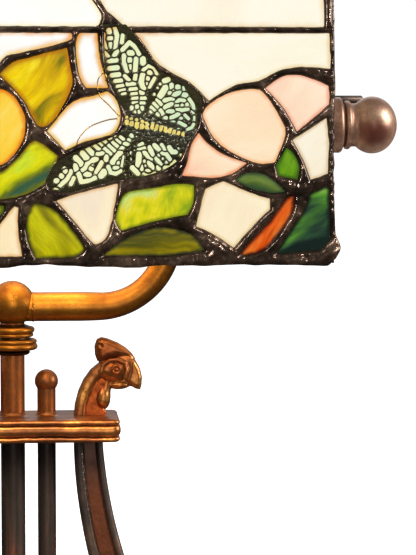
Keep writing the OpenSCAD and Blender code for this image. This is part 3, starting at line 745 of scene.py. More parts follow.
def left_place(u, v, h):
    return np.column_stack([-HALF_X + CAME / 2 - h, -u, PIVOT_Z + v])


def top_place(u, v, h):
    """u along the shade, v along the curve from the front fold; the beads are lower than on the front."""
    h = np.where(h > 0, np.minimum(h * 0.66, GLASS_T / 2 + 0.45), h)
    t = np.interp(v, ARC, ELLIPSE)
    y, z = -MID_Y * np.cos(t), FOLD + CROWN * np.sin(t)
    ny, nz = -np.cos(t) / MID_Y, np.sin(t) / CROWN
    n = np.hypot(ny, nz)
    return np.column_stack([u, y + h * ny / n, PIVOT_Z + z + h * nz / n])


def lead_piece(name, U, V, field, outer, seed, place, node, heat=None, cut=None):
    """Leading of one face of the shade; outer is the distance to its rim, cut drops what lies beyond it."""
    front = solder_height(field, U, V, seed, outer)
    keep = kept_cells(field, -0.6, cut)
    co, faces, (u, v) = slab(U, V, keep, front, np.full(U.shape, -SKIN), place)
    # Painted glow from the lamp, where it shines past the leading; none where no function is given.
    warm = np.zeros(len(u)) if heat is None else heat(u, v)
    return add_piece(name, co, faces, "shade", "lead", SOLDER, node, {"heat": warm})


def bulb_warmth(u, v):
    """How far the lamp's glow eats into the leading, from 0 to about 1.3."""
    top = np.exp(-((u - 8) / 66) ** 2 - ((v - 42) / 12) ** 2)
    middle = 0.6 * np.exp(-((u - 22) / 28) ** 2 - ((v - 16) / 22) ** 2)
    return 1.3 * np.maximum(top, middle) * (0.75 + 0.25 * wobble(u, v, 4, 3))


def grid(u0, u1, v0, v1, step):
    nu, nv = int(round((u1 - u0) / step)) + 1, int(round((v1 - v0) / step)) + 1
    return np.meshgrid(np.linspace(u0, u1, nu), np.linspace(v0, v1, nv), indexing="ij")


FRONT_NODES = {"glass_cream": "cream", "glass_white": "white", "glass_pink": "pink", "glass_orange": "orange",
               "glass_yellow_leaf": "yellow", "glass_green_leaf": "green", "glass_red_leaf": "red",
               "glass_butterfly": "pale_green"}
FRONT_FACE = -MID_Y - SKIN
WINDOWS = {node: cad_loops(node, 1, FRONT_FACE) for node in FRONT_NODES}
FILIGREE = [w for w in cad_loops("butterfly_filigree", 1, -MID_Y - CAME / 2 - 0.6) if np.ptp(w[:, 0]) > 40]
WINDOWS["glass_butterfly"] = FILIGREE

MIRROR_X, MIRROR_K = -12.0, 0.822
# Centre of each window on the right: the colour by the leads, the colours of its streaks from dark to
# light, the way they run in degrees, how wide and how drawn out they are, and a drift across the pane
STYLES = {
    (85, 23): ("#f2dcae", ("#fbecd0", "#fdf4da", "#fef8e4"), 0, 14, 3, (-0.2, 0.2)),
    (116, -10): ("#e0c8a0", ("#f2e0c4", "#f8ead0", "#fbf2dc"), 60, 8, 3, (0, 0)),
    (84, -32): ("#e8cb98", ("#fae6c4", "#fdeecb", "#fef4d8"), 80, 10, 3, (0.2, 0)),
    (31, -33): ("#e6c08c", ("#f4e0cc", "#fcebc6", "#fef2d4"), 90, 8, 3, (0, -0.5)),
    (-2, -41): ("#e6b67a", ("#fbe0b0", "#fdeabf", "#fef0d0"), 90, 8, 3, (0.2, 0)),
    (8, 29): ("#fce8a0", ("#fefaf0", "#fffefa", "#ffffff"), 0, 10, 3, (0, 0)),
    (30, 27): ("#f0c858", ("#fdfae8", "#fffef8", "#ffffff"), 30, 8, 2, (0, 0)),
    (30, 3): ("#f0cc60", ("#fdfaea", "#fffef8", "#ffffff"), 30, 8, 2, (0, 0)),
    (90, 2): ("#f8b882", ("#fddcba", "#fde3be", "#feebcc"), 20, 12, 3, (-0.3, 0)),
    (111, 12): ("#f6b090", ("#fcd2b8", "#fdddbf", "#fee6ca"), 40, 9, 3, (0, 0.3)),
    (75, -12): ("#f2a072", ("#fcd0b0", "#fde2c0", "#feeacc"), 0, 8, 3, (0, 0.3)),
    (0, 1): ("#ea7c10", ("#f28e18", "#f7a822", "#fbc02e", "#fcd244", "#fddf70"), 60, 10, 3, (0.25, 0.25)),
    (11, 15): ("#9c7404", ("#80780c", "#d4aa04", "#eec602", "#f9d904", "#fbe32a"), 48, 5, 4, (-0.3, 0.0)),
    (4, -17): ("#6c6c14", ("#3a6044", "#68721c", "#b8be0a", "#e6e004", "#cce634"), 35, 6, 3, (-0.4, 0.4)),
    (55, -29): ("#7e8c14", ("#90ac18", "#c4c818", "#e2da14", "#ecdc3c", "#cce478"), 75, 5, 1.4, (-0.2, 0.2)),
    (106, -14): ("#3a5c10", ("#3c7410", "#5a9010", "#78ac18"), 70, 4, 3, (0, 0)),
    (95, -22): ("#2c4028", ("#34542e", "#566c2c", "#6c8438", "#86985c"), -20, 3, 5, (-0.2, -0.2)),
    (115, -36): ("#142018", ("#14241e", "#24402e", "#3c6a2a", "#5c9c2c", "#86b848"), 25, 5, 4, (0.0, 0.75)),
    (56, -44): ("#1c261a", ("#303a16", "#6a620a", "#948404", "#a8980c"), 2, 3, 12, (0, 0)),
    (15, -40): ("#4a4e0a", ("#6a6604", "#a29a04", "#c2bc04", "#d4d010"), -52, 3.5, 6, (0, 0)),
    (-6, -34): ("#4a5a08", ("#687c0a", "#809010", "#a0ac18"), 80, 4, 3, (0, 0)),
    (99, -38): ("#561402", ("#741f04", "#c04408", "#e65a0c", "#ee7c28", "#c89c80"), 58, 2.6, 6, (0, 0)),
    (44, 5): ("#e6e69c", ("#d2e8c0", "#e4f0c2", "#eef4c2", "#f6f2bc"), 60, 9, 1.5, (-0.35, -0.2))}


def style_of(loop):
    x, z = loop.mean(0)
    if x < MIRROR_X:
        x = MIRROR_X + (MIRROR_X - x) / MIRROR_K
    key = min(STYLES, key=lambda c: math.hypot(c[0] - x, c[1] - z))
    return STYLES[key]


def paint(u, v, loop, style, seed, warmed):
    """Colours of one pane: drawn-out streaks, with a darker fringe where the solder creeps over the glass,
    which near the bulb a painted glow turns orange and widens.
    """
    edge, colours, angle, size, stretch, drift = style
    a = math.radians(angle)
    along, across = u * math.cos(a) + v * math.sin(a), v * math.cos(a) - u * math.sin(a)
    across = across + 0.35 * size * wobble(along, across, size * 1.7, seed + 5)
    value = 0.5 + 0.62 * layered(along / stretch, across, size, seed, 4)
    span = np.maximum(np.ptp(loop, axis=0), 1)
    value = value + drift[0] * (u - loop[:, 0].mean()) / span[0]
    value = value + drift[1] * (v - loop[:, 1].mean()) / span[1]
    places = np.linspace(0.08, 0.92, len(colours))
    table = np.array([linear(c) for c in colours])
    body = np.column_stack([np.interp(value, places, table[:, k]) for k in range(3)])
    ragged = -loop_distance(u, v, loop) + 0.35 * layered(u, v, 2.2, seed + 3, 2)
    # Painted glow: near the bulb the fringe turns orange and grows wider.
    warm = np.clip(bulb_warmth(u, v), 0, 1) if warmed else 0 * u
    fade = smooth((ragged - 0.1) / (1.5 + 2.2 * warm))[:, None]
    rim = linear(edge) * (1 - warm[:, None]) + linear("#ea8a10") * warm[:, None]
    return rim * (1 - fade) + body * fade, np.column_stack([along + 31 * seed, across])


def join_panes(parts):
    """Points, faces and colours of several meshes as one."""
    starts = np.cumsum([0] + [len(co) for co, _, _ in parts])
    faces = np.concatenate([part[1] + start for part, start in zip(parts, starts)])
    colours = {key: np.concatenate([part[2][key] for part in parts]) for key in ("tint_and_glow", "flow")}
    return np.concatenate([part[0] for part in parts]), faces, colours


def glass_mesh(loops, styles, place, step, seed, light=None):
    """Points, faces and colours of the panes that fill some windows, each gently pillowed."""
    parts = []
    for n, (loop, style) in enumerate(zip(loops, styles)):
        lo, hi = loop.min(0) - 1.5, loop.max(0) + 1.5
        U, V = grid(lo[0], hi[0], lo[1], hi[1], step)
        d = -loop_distance(U, V, loop)
        keep = kept_cells(d, -0.3)
        front = SKIN - 0.22 + 0.3 * smooth(d / 5) + 0.12 * layered(U, V, 9, seed + n, 2)
        co, faces, (u, v) = slab(U, V, keep, front, np.full(U.shape, -SKIN + 0.2), place)
        tint_and_glow, flow = paint(u, v, loop, style, seed + 80 + n, light is not None)
        glow = 1.0 if light is None else light(u, v)[:, None]
        parts.append((co, faces, {"tint_and_glow": tint_and_glow * glow, "flow": flow}))
    return join_panes(parts)


def front_light(u, v):
    """The far corners of the shade get less light from the bulb."""
    r = np.hypot(u - BULB[0], (v - BULB[2] + PIVOT_Z) * 1.2)
    return 1 - 0.12 * smooth((r - 100) / 60)


def bottom_wave(u):
    """How the lower rim of the front wanders up and down."""
    return 0.8 * wobble(u, 0 * u, 13, 5) + 0.4 * wobble(u, 0 * u, 5, 6)


def wavy_front(u, v, h):
    """The front, with a lower rim and sides that wander, and a bead of solder near each lower corner."""
    low = smooth((DROP + 3.2 - v) / 3.0)
    side = smooth((np.abs(u) - HALF_X + 2.6) / 2.6) * np.sign(u)
    bulge = 0.5 + 0.8 * wobble(v, 0 * v, 9, 15) + 2.4 * np.exp(-((v + 46.5) / 3.8) ** 2)
    return front_place(u + side * bulge, v + low * (bottom_wave(u) - 0.5 + 1.8 * side ** 2 * low), h)


def build_front():
    loops = [w for node in FRONT_NODES for w in WINDOWS[node]]
    halves = ((-HALF_X, MIRROR_X, 0.5), (MIRROR_X, HALF_X, 0.4))
    for n, (u0, u1, step) in enumerate(halves):
        U, V = grid(u0, u1, DROP, FOLD + 0.1, step)
        wings = window_field(U, V, WINDOWS["glass_butterfly"])
        field = window_field(U, V, loops)
        field = np.where(wings < 0.6, field, np.maximum(field, V - FOLD + 2.2))
        outer = np.minimum(np.minimum(HALF_X - np.abs(U), V - DROP) + 0.3, FOLD + 0.4 - V)
        lead_piece(f"front_leading_{n + 1}", U, V, field, outer, 20 + n, wavy_front, ["front_came"],
                   bulb_warmth)
    for n, (node, slot_name) in enumerate(FRONT_NODES.items()):
        styles = [style_of(w) for w in WINDOWS[node]]
        co, faces, colours = glass_mesh(WINDOWS[node], styles, front_place, 0.6, 100 + 10 * n, front_light)
        streaky = node in ("glass_yellow_leaf", "glass_green_leaf", "glass_red_leaf")
        material = GLASS_STREAKY if streaky else GLASS_CLEAR
        add_piece(node + "_panes", co, faces, "shade", slot_name, material, [node], colours)


# ---------------------------------------------------------------- the butterfly
# Each clear cell of the etched plate is a stroke: its width, then its points from the middle of the panel.
# The upper and lower cells were read by eye on enlargements of the photograph, and a script turned the
# readings into millimetres and printed the rows. report.md lists that as a rule not met. The body's drops
# and the ladder of cells by the upper wing's root were given one by one.
UPPER_CELLS = ((2.3, 37.4, 36.6, 37.4, 36.3), (1.8, 37.3, 33.7, 38.1, 33.7), (1.7, 37.9, 31.7, 37.9, 30.5),
    (1.4, 35.4, 35.4, 35.2, 32.8, 36.5, 30), (1.7, 39.5, 37.4, 40.4, 34.8, 39.5, 30.2),
    (1.5, 42.5, 34.8, 42.2, 32.2), (1.6, 42.4, 29.4, 45.1, 32.2, 46.9, 30.8, 48.8, 27.7),
    (2.1, 45.1, 28.2, 46.1, 28.2), (1.7, 43, 27.2, 43.1, 24.2, 44.2, 21.4), (2.1, 45.1, 25.6, 45.1, 25.3),
    (1.2, 45.3, 23.6, 45.3, 22.2), (1.8, 47.6, 25.9, 47.2, 21.6), (2.3, 50.2, 25.9, 50.3, 24.5),
    (1.3, 50.3, 21.7, 52.3, 23.3, 54, 22.4, 55.5, 20.3), (2, 52.8, 20.8, 53.1, 20.8),
    (2, 50.1, 19.8, 49.5, 17.2, 50.4, 14.9), (1.5, 52, 18.7, 52.1, 18.4), (0.8, 51.7, 16.8, 51.7, 16.2),
    (1.3, 54.7, 18.7, 52.7, 15.3), (1.5, 35.6, 28.5, 37, 26.8), (1.7, 40.3, 28.8, 39.3, 27.2),
    (1.4, 43.3, 19.5, 44.9, 17.8), (1.5, 47.4, 19.8, 47.1, 18.1), (1.5, 45.9, 7.5, 46, 7),
    (1.2, 47.1, 6, 47.4, 5.8), (1.4, 48.5, 6.1, 48.6, 5.8), (1.7, 49.4, 13.3, 50, 13),
    (1.4, 49.5, 11, 50.9, 11), (1.3, 49.4, 9.2, 50.5, 9.2), (1.3, 49.9, 7.6, 49.9, 6.9),
    (1.5, 47.9, 8.3, 47.9, 7.5), (2, 58.4, 17.6, 59.8, 18.1), (1, 56.8, 16.5, 56.8, 16.4),
    (0.7, 55.7, 15, 55.8, 14.9), (0.9, 54.5, 12.6, 54.5, 12.4), (2.3, 58.8, 15, 56.8, 11.8),
    (1.7, 61.1, 16.1, 61.1, 15.2), (0.7, 61.7, 14.2, 61.7, 14.2), (1.3, 60.3, 13, 60.6, 13),
    (1.9, 63.4, 15.3, 63.8, 15.2), (1, 65.5, 15.2, 65.9, 14.2), (1.7, 62, 12.2, 64.1, 13.2),
    (1.8, 65.8, 12.4, 66.6, 12.2), (1.3, 67.9, 10.7, 69.3, 8.6, 69.6, 7), (1.6, 58.4, 10.2, 61.5, 10.7),
    (1.2, 63, 9.5, 64.1, 10.4, 66, 10.1), (1, 65.1, 8.4, 65.2, 8.4), (1.4, 63, 8.3, 63.3, 8.2),
    (1.3, 67, 8.7, 67.1, 8.4), (1.3, 63.3, 6.9, 65, 6.4, 67.3, 6.9), (1.7, 58.7, 7.5, 61, 9),
    (1.3, 55.6, 10.4, 57.1, 8.7), (1.3, 54.4, 9, 55.6, 7.7), (1.2, 53.4, 7.6, 54.5, 6.6),
    (1, 53.1, 5.9, 53.3, 5.7), (1.5, 56.9, 6.4, 57.7, 5), (1.3, 55.7, 5, 56.1, 4.7),
    (1.3, 58.5, 3.7, 59.1, 3.5), (1.5, 59.7, 6.1, 61.5, 6), (1.5, 61, 3.6, 63.7, 4.9),
    (1.1, 66.2, 4.6, 67.6, 3.2), (1, 64.6, 3.4, 64.9, 3.4), (1.2, 64, 1.8, 66.4, 0.5),
    (0.6, 61.2, 2.3, 62.2, 2.1), (0.9, 68.9, 6.1, 69.6, 5.2), (0.9, 69.8, 4.1, 69.8, 2.6),
    (1.2, 69.6, 1.2, 68.9, -0.2, 67.3, -0.8))
BODY_DROPS = ((1.9, 43.9, 2.1, 43.9, 1.8), (1.9, 45.8, 1.6, 45.9, 1.2), (2, 47.7, 1.1, 47.8, 0.4),
    (1.9, 49.7, 0.6, 49.8, 0.1), (1.6, 51.4, 0.2, 51.5, -0.1), (1.3, 43.9, 3.7), (1.3, 45.7, 3.2),
    (1.4, 47.7, 2.8), (1.4, 49.8, 2.2), (1.2, 51.5, 1.5))
LADDER_CELLS = ((1.9, 37.4, 25.2, 39.9, 25.5), (1.9, 37.5, 22.3, 40.4, 22.6), (1.8, 38.4, 19.7, 41, 20),
    (1.6, 39.6, 17.5, 41.8, 17.7), (1.5, 40.5, 15.5, 42.4, 15.8), (1.3, 41.3, 14, 43, 14.3),
    (1.2, 42.3, 12.7, 43.3, 12.9), (1.6, 44.3, 16.4, 46.8, 16.6), (1.4, 45.4, 14.4, 47.5, 14.6),
    (1.2, 46, 12.7, 47.8, 12.9), (1.2, 46.3, 10.9, 48.1, 11.1), (1.1, 46.4, 9.3, 47.9, 9.4))
LOWER_LEFT_CELLS = ((1.4, 45.7, -3.1, 45.9, -3.4), (1.2, 44.7, -4.8, 45, -5), (1.5, 43.1, -6.3, 44.2, -6.4),
    (1.3, 39.2, -3.1, 39.4, -3.3), (1.8, 37.2, -4.1, 37.7, -4), (1.8, 35.4, -5, 35.8, -5.5),
    (1.4, 33.3, -6.1, 34.5, -7), (1.8, 31.8, -6.8, 33.3, -8.2), (2, 29.2, -8.2, 30.8, -9.9),
    (2.2, 27.1, -9.9, 28.8, -12), (2.2, 24.5, -11.6, 26.6, -14.1), (1.9, 24.5, -14.5, 24.6, -16.1),
    (1.4, 41.6, -3.8, 42.6, -4.6), (1.3, 40.1, -4.8, 41.4, -5.8), (1.6, 38.7, -5.9, 40.4, -7.3),
    (1.6, 37.2, -7, 39.1, -8.8), (1.7, 35.5, -8.2, 37.6, -10), (1.4, 41.5, -8.1, 42.4, -7.8),
    (1.6, 32.6, -10.2, 34.9, -9.8), (1.7, 36.3, -10.9, 36, -12.4),
    (1.9, 27.3, -16.3, 29.1, -13.4, 32.2, -12.1), (1.8, 30.3, -15.6, 30.4, -15.8),
    (0.8, 30.8, -14.4, 30.8, -14.6), (1.5, 32.3, -17.2, 34.4, -13.4), (2.1, 38.6, -13.3, 41.4, -9.8),
    (1.7, 25.5, -17.5, 26.6, -20.9, 28.9, -20.5, 31.9, -19.3), (1.9, 28.3, -17.8, 29.6, -18.2),
    (2.6, 34.1, -18.4, 35.2, -17.2), (1.5, 36.9, -15.1, 37.7, -17.3, 39.7, -17.8, 41.5, -16.7),
    (1.4, 39.3, -15.5, 40.4, -15.5), (1.3, 40.5, -13.3, 40.6, -13.6), (0.8, 41.4, -11.8, 41.4, -11.9),
    (0.8, 42.6, -11.1, 42, -14.9), (1.6, 22.6, -16.8, 21.5, -19.5, 18.4, -22.3),
    (1.8, 20.5, -16.8, 20.7, -16.8), (1.8, 19, -18.4, 19.1, -18.7), (2, 17, -20.4, 17.2, -20.4),
    (1.6, 23.6, -19.4, 22.6, -21.7), (0.8, 16.4, -23.4, 17.7, -23.5), (0.8, 19.9, -15.5, 20.2, -15.3))
LOWER_RIGHT_CELLS = ((1.3, 48.7, -7, 49.9, -6.3), (1.3, 48.6, -8.3, 50.7, -8),
    (2.1, 48.7, -10.2, 48.3, -14.3), (1.6, 50.5, -9.5, 53.2, -12.2), (1.8, 52.8, -7.8, 53.7, -10.6),
    (1.8, 54.5, -7, 56.4, -8.5), (1.4, 57.3, -6.8, 58.4, -8.6), (1.8, 60.2, -7.8, 61.4, -9.5, 62.7, -9.5),
    (0.8, 63.7, -8.1, 63.8, -8.3), (1, 64.6, -10.5, 64.7, -10.8), (1.4, 55.1, -11.8, 57, -14.2),
    (1.5, 57.3, -9.8, 59.1, -10.3, 60.6, -12.4), (1.1, 56.2, -10.6, 56.2, -10.8),
    (0.8, 57.7, -12, 57.7, -12.1), (1, 59.1, -13.3, 59.2, -13.5),
    (1.6, 58.5, -15.5, 60.6, -15.5, 62.2, -13.2), (1.8, 52.4, -13.4, 53.9, -15.5),
    (1.8, 55.8, -15.4, 56.2, -15.8), (1.1, 50.7, -12.9, 50.8, -13.1), (0.8, 51, -14.6, 51, -14.8),
    (1.3, 49.7, -14.9, 49.7, -16.3), (1.3, 51.6, -16.6, 52.7, -16.6),
    (1.2, 50.4, -17.7, 52.2, -18.6, 54.7, -17.5), (1.9, 46.1, -15.5, 48.2, -17.7))
BODY_START, BODY_END, BODY_BARS = (53.7, 0.4), (65.4, -2.7), 8
BODY_AXIS = [(45, 2), (66, -3)]
WING_ROOT = [(51, 22), (44.5, -18)]
ANTENNAE = ([(41.2, 4.1), (37, 8.6), (33.4, 11.8), (32.8, 15.2), (32.9, 18.3), (34.8, 20.8), (36.3, 19.6),
             (35.9, 17.5)],
            [(40.7, 3.3), (37, 2.9), (33.6, 1.8), (30.4, 0.6), (27.8, -1.3), (25.2, -4.8), (24.8, -7.1)])


def stroke_field(U, V, strokes, grow=0.12, line=0.42):
    """Distance outside rounded cells that grow out of strokes and stop at a thin line where two meet."""
    field, second = np.full(U.shape, 9.0), np.full(U.shape, 9.0)
    for width, *flat in strokes:
        points = np.array(flat).reshape(-1, 2)
        lo, hi = points.min(0) - width - 1.5, points.max(0) + width + 1.5
        near = (U > lo[0]) & (U < hi[0]) & (V > lo[1]) & (V < hi[1])
        d = stroke_distance(U[near], V[near], points) - width / 2
        second[near] = np.minimum(second[near], np.maximum(field[near], d))
        field[near] = np.minimum(field[near], d)
    return np.maximum(field - grow, line / 2 - (second - field) / 2)


def body_strokes():
    """The drops of the body, then short bars across its tail that get smaller towards the end."""
    a, b = np.array(BODY_START), np.array(BODY_END)
    bars = []
    for k in range(BODY_BARS):
        middle = a + (b - a) * k / (BODY_BARS - 1)
        reach = np.array([0.25, 1.0]) * (0.62 - 0.065 * k)
        bars.append((1.32, *(middle - reach), *(middle + reach)))
    return list(BODY_DROPS) + bars


def build_butterfly(side):
    """One butterfly: the etched plate over the wings, the drops along its body, and the wire antennae."""
    name = "right" if side > 0 else "left"
    place = front_place
    if side < 0:
        place = lambda u, v, h: front_place(MIRROR_X - (u - MIRROR_X) * MIRROR_K, v, h)
    wings = [w for w in FILIGREE if w[:, 0].mean() > MIRROR_X]
    U, V = grid(13, 74, -27, 40, 0.2)
    wing = window_field(U, V, wings, 1.5)
    cells = stroke_field(U, V, UPPER_CELLS + LADDER_CELLS + LOWER_LEFT_CELLS + LOWER_RIGHT_CELLS)
    near = np.exp(-(stroke_distance(U, V, BODY_AXIS) / 4.5) ** 2)
    near = np.maximum(near, np.exp(-(stroke_distance(U, V, WING_ROOT) / 2.2) ** 2))
    pits = np.clip(wobble(U, V, 0.75, 61) - 0.05, 0, 1) * smooth((cells - 0.4) / 0.4) * 1.2 * near
    height = SKIN + 0.25 + 0.42 * dome(cells / 0.4) + 0.08 * wobble(U, V, 0.9, 60) - pits
    height = np.where(cells < 0, SKIN + 0.25 + 2.6 * cells, height)
    keep = kept_cells(np.where(wing < 0.5, cells, -9), -0.2)
    co, faces, (u, v) = slab(U, V, keep, height, np.full(U.shape, SKIN - 0.35), place)
    tone = np.exp(-(stroke_distance(u, v, BODY_AXIS) / 5) ** 2)
    turn = (lambda f: f) if side > 0 else (lambda f: f[:, ::-1])
    add_piece(f"etched_wings_{name}", co, turn(faces), "shade", "lead", ETCHED, ["butterfly_filigree"],
              {"rub_and_shade": tone})

    U, V = grid(42, 67, -5, 5.5, 0.16)
    drops = stroke_field(U, V, body_strokes(), 0.02, 0.3)
    height = 1.9 + 0.75 * dome(-drops / 0.6)
    keep = kept_cells(-drops, -0.02)
    co, faces, (u, v) = slab(U, V, keep, height, np.full(U.shape, 1.6), place)
    tint_and_glow = np.tile(linear("#f0da78"), (len(u), 1)) * (0.92 + 0.2 * wobble(u, v, 1.4, 8))[:, None]
    add_piece(f"body_drops_{name}", co, turn(faces), "shade", "pale_green", GLASS_CLEAR,
              attributes={"tint_and_glow": tint_and_glow, "flow": np.column_stack([u, v])})

    wires, count = [], 40
    for points in ANTENNAE:
        points = np.array(points)
        if side < 0:
            points[:, 0] = MIRROR_X - (points[:, 0] - MIRROR_X) * MIRROR_K
        t = np.arange(len(points))
        fine = np.linspace(0, len(points) - 1, count)
        smooth_xz = np.column_stack([np.interp(fine, t, points[:, k]) for k in (0, 1)])
        for _ in range(6):
            smooth_xz[1:-1] = (smooth_xz[:-2] + 2 * smooth_xz[1:-1] + smooth_xz[2:]) / 4
        y = np.full(count, -MID_Y - SKIN - 0.7)
        path = np.column_stack([smooth_xz[:, 0], y, PIVOT_Z + smooth_xz[:, 1]])
        wires.append(tube(path, np.linspace(0.27, 0.2, count), 10))
    co, faces = join(wires)
    add_piece(f"antennae_{name}", co, faces, "shade", "brass", BRASS)


RIBS = (-58.0, 34.0)
BEAD = 1.35


def top_loops():
    """Windows of the curved top, in distance along the shade and round the curve."""
    rows = [np.interp(math.radians(a), ELLIPSE, ARC) for a in (57, 63, 117, 123)]
    rows = [0.1, rows[0], rows[1], rows[2], rows[3], ARC[-1] - 1.6]
    edges = [-HALF_X + 3.2, RIBS[0] - BEAD, RIBS[0] + BEAD, RIBS[1] - BEAD, RIBS[1] + BEAD, HALF_X - 3.2]
    loops = []
    for j in range(0, 6, 2):
        for i in range(0, 6, 2):
            x0, x1, s0, s1 = edges[i], edges[i + 1], rows[j], rows[j + 1]
            loop = [(x0, s0), (x1, s0), (x1, s1), (x0, s1)]
            if j == 0 and i < 4:
                loop[1:2] = [(x1 - 0.6, s0), (x1 + 1.0, s0 + 0.6), (x1 + 2.1, s0 + 3.2), (x1 + 1.9, s0 + 4.9),
                             (x1 - 1.6, s0 + 10)]
            if j == 0 and i > 0:
                loop[0:1] = [(x0 - 1.2, s0 + 10), (x0 + 1.0, s0 + 5.8), (x0 + 4.2, s0 + 3.3), (x0 + 7.9, s0)]
            loops.append(np.array(loop, float))
    return loops


def build_top():
    loops = top_loops()
    U, V = grid(-HALF_X, HALF_X, 0.0, ARC[-1] - 1.5, 0.62)
    field = window_field(U, V, loops)
    outer = HALF_X - np.abs(U) + 0.3
    lead_piece("top_leading", U, V, field, outer, 50, top_place, ["top_ribs", "top_rails"],
               lambda u, v: bulb_warmth(u, FOLD + v))
    white = ("#fceeb8", ("#fffcf2", "#fffefa", "#ffffff"), 0, 12, 3, (0, 0))
    cream = ("#f2d8a8", ("#fdf2da", "#fef7e2", "#fffaec"), 90, 14, 3, (0, 0))
    styles = [white if loop[:, 0].max() < HALF_X - 10 and loop[:, 0].min() > -HALF_X + 10 else cream
              for loop in loops]
    co, faces, colours = glass_mesh(loops, styles, top_place, 1.3, 300)
    add_piece("top_panes", co, faces, "shade", "cream", GLASS_CLEAR, ["top_glass"], colours)


def build_rear():
    loops = {node: [w * (-1, 1) for w in cad_loops(node, 1, MID_Y + SKIN)]
             for node in ("rear_glass_cream", "rear_glass_green")}
    every = loops["rear_glass_cream"] + loops["rear_glass_green"]
    U, V = grid(-HALF_X, HALF_X, DROP, FOLD + 1.8, 0.7)
    field = window_field(U, V, every)
    outer = np.minimum(np.minimum(HALF_X - np.abs(U), V - DROP) + 0.3, FOLD + 2.1 - V)
    lead_piece("rear_leading", U, V, field, outer, 60, rear_place, ["rear_came"])
    cream = ("#ecd0a0", ("#fae8c8", "#fdf0d2", "#fef6e0"), 10, 14, 3, (0, 0))
    leaf = ("#3c5a1c", "#5c7c24", "#84982c", "#a8b848")
    greens = [("#2c3a14", leaf, 20 + 37 * k, 5, 4, (0, 0)) for k in range(12)]
    for node, slot_name, styles, material in (("rear_glass_cream", "cream", [cream] * 8, GLASS_CLEAR),
                                              ("rear_glass_green", "green", greens, GLASS_STREAKY)):
        co, faces, colours = glass_mesh(loops[node], styles, rear_place, 1.2, 400)
        add_piece(node + "_panes", co, faces, "shade", slot_name, material, [node], colours)


def build_ends():
    cream = ("#e8cc98", ("#f8e4c0", "#fbeccb", "#fef4dc"), 90, 12, 3, (0, 0))
    panes = []
    for sign, side in SIDES:
        place = right_place if sign > 0 else left_place
        rings = cad_loops(f"end_came_{side}", 0, sign * HALF_X)
        rim = max(rings, key=lambda w: np.ptp(w[:, 1])) * (sign, 1)
        loops = [w * (sign, 1) for w in cad_loops("end_glass", 0, sign * (HALF_X - CAME / 2 + SKIN))]
        panes.append(glass_mesh(loops, [cream] * len(loops), place, 1.2, 500))
        lo, hi = rim.min(0), rim.max(0)
        U, V = grid(lo[0], hi[0], lo[1], hi[1], 0.75)
        field = window_field(U, V, loops)
        inside = -loop_distance(U, V, rim)
        lead_piece(f"end_leading_{side}", U, V, field, None, 70 + sign, place, [f"end_came_{side}"],
                   cut=inside + 0.4)
    co, faces, colours = join_panes(panes)
    add_piece("end_panes", co, faces, "shade", "cream", GLASS_CLEAR, ["end_glass"], colours)


# ---------------------------------------------------------------- the metalwork
PLATE_Z = BRIDGE_HI[2]
ARM_LO, ARM_HI = box_mm("arm_right")
ARM_R = 6.0
BEND_R = 29.0
COLUMN_R = 5.0
ROD_X, ROD_R = 13.9, 3.8
LEG_EDGE_R = 1.8
UPRIGHT_R = 5.3
ARM_Z = ARM_LO[2] + ARM_R
UPRIGHT_X = ARM_HI[0] - UPRIGHT_R
LEG_LO, LEG_HI = box_mm("leg_right")
KNOB_LO, KNOB_HI = box_mm("knob_right")


def build_arms():
    for side, name in SIDES:
        bend_x = UPRIGHT_X - BEND_R
        level = [(x, 0, ARM_Z) for x in np.linspace(5.5, bend_x, 20)]
        bend = [(bend_x + BEND_R * math.sin(a), 0, ARM_Z + BEND_R - BEND_R * math.cos(a))
                for a in np.linspace(0, math.pi / 2, 33)[1:]]
        rise = [(UPRIGHT_X, 0, z) for z in np.linspace(ARM_Z + BEND_R, ARM_HI[2], 14)[1:]]
        path = np.array(level + bend + rise)
        gone = np.concatenate([[0], np.cumsum(np.linalg.norm(np.diff(path, axis=0), axis=1))])
        radii = ARM_R - (ARM_R - UPRIGHT_R) * smooth((gone - 20) / 30) + 0.06 * wobble(gone, gone * 0, 9, 4)
        weld = lathe([(-0.6, 5.9), (-0.3, 6.12), (0, 6.2), (0.3, 6.12), (0.6, 5.9)], (8.6, 0, ARM_Z), "x", 48)
        bead = lathe([(-0.6 * math.cos(t), 0.02 + 0.6 * math.sin(t)) for t in np.linspace(0, math.pi, 9)],
                     (8.3, -6.2, ARM_Z - 0.6), "x", 12)
        co, faces = mirrored(*join([tube(path, radii, 48), weld, bead]), side)
        # Painted shade: darker along the underside of the arm and on the outer side of the bend and upright.
        past_bend = np.abs(co[:, 0]) - bend_x
        outside = np.hypot(np.clip(past_bend, 0, None), np.clip(ARM_Z + BEND_R - co[:, 2], 0, None)) - BEND_R
        painted_underside_shade = smooth((outside - 1.0) / 5) * (0.3 + 0.4 * smooth((past_bend + 4) / 14))
        add_piece(f"bent_arm_{name}", co, faces, "stand", "bronze", GOLD_BRONZE, [f"arm_{name}"],
                  {"rub_and_shade": painted_underside_shade}, sharp=50)


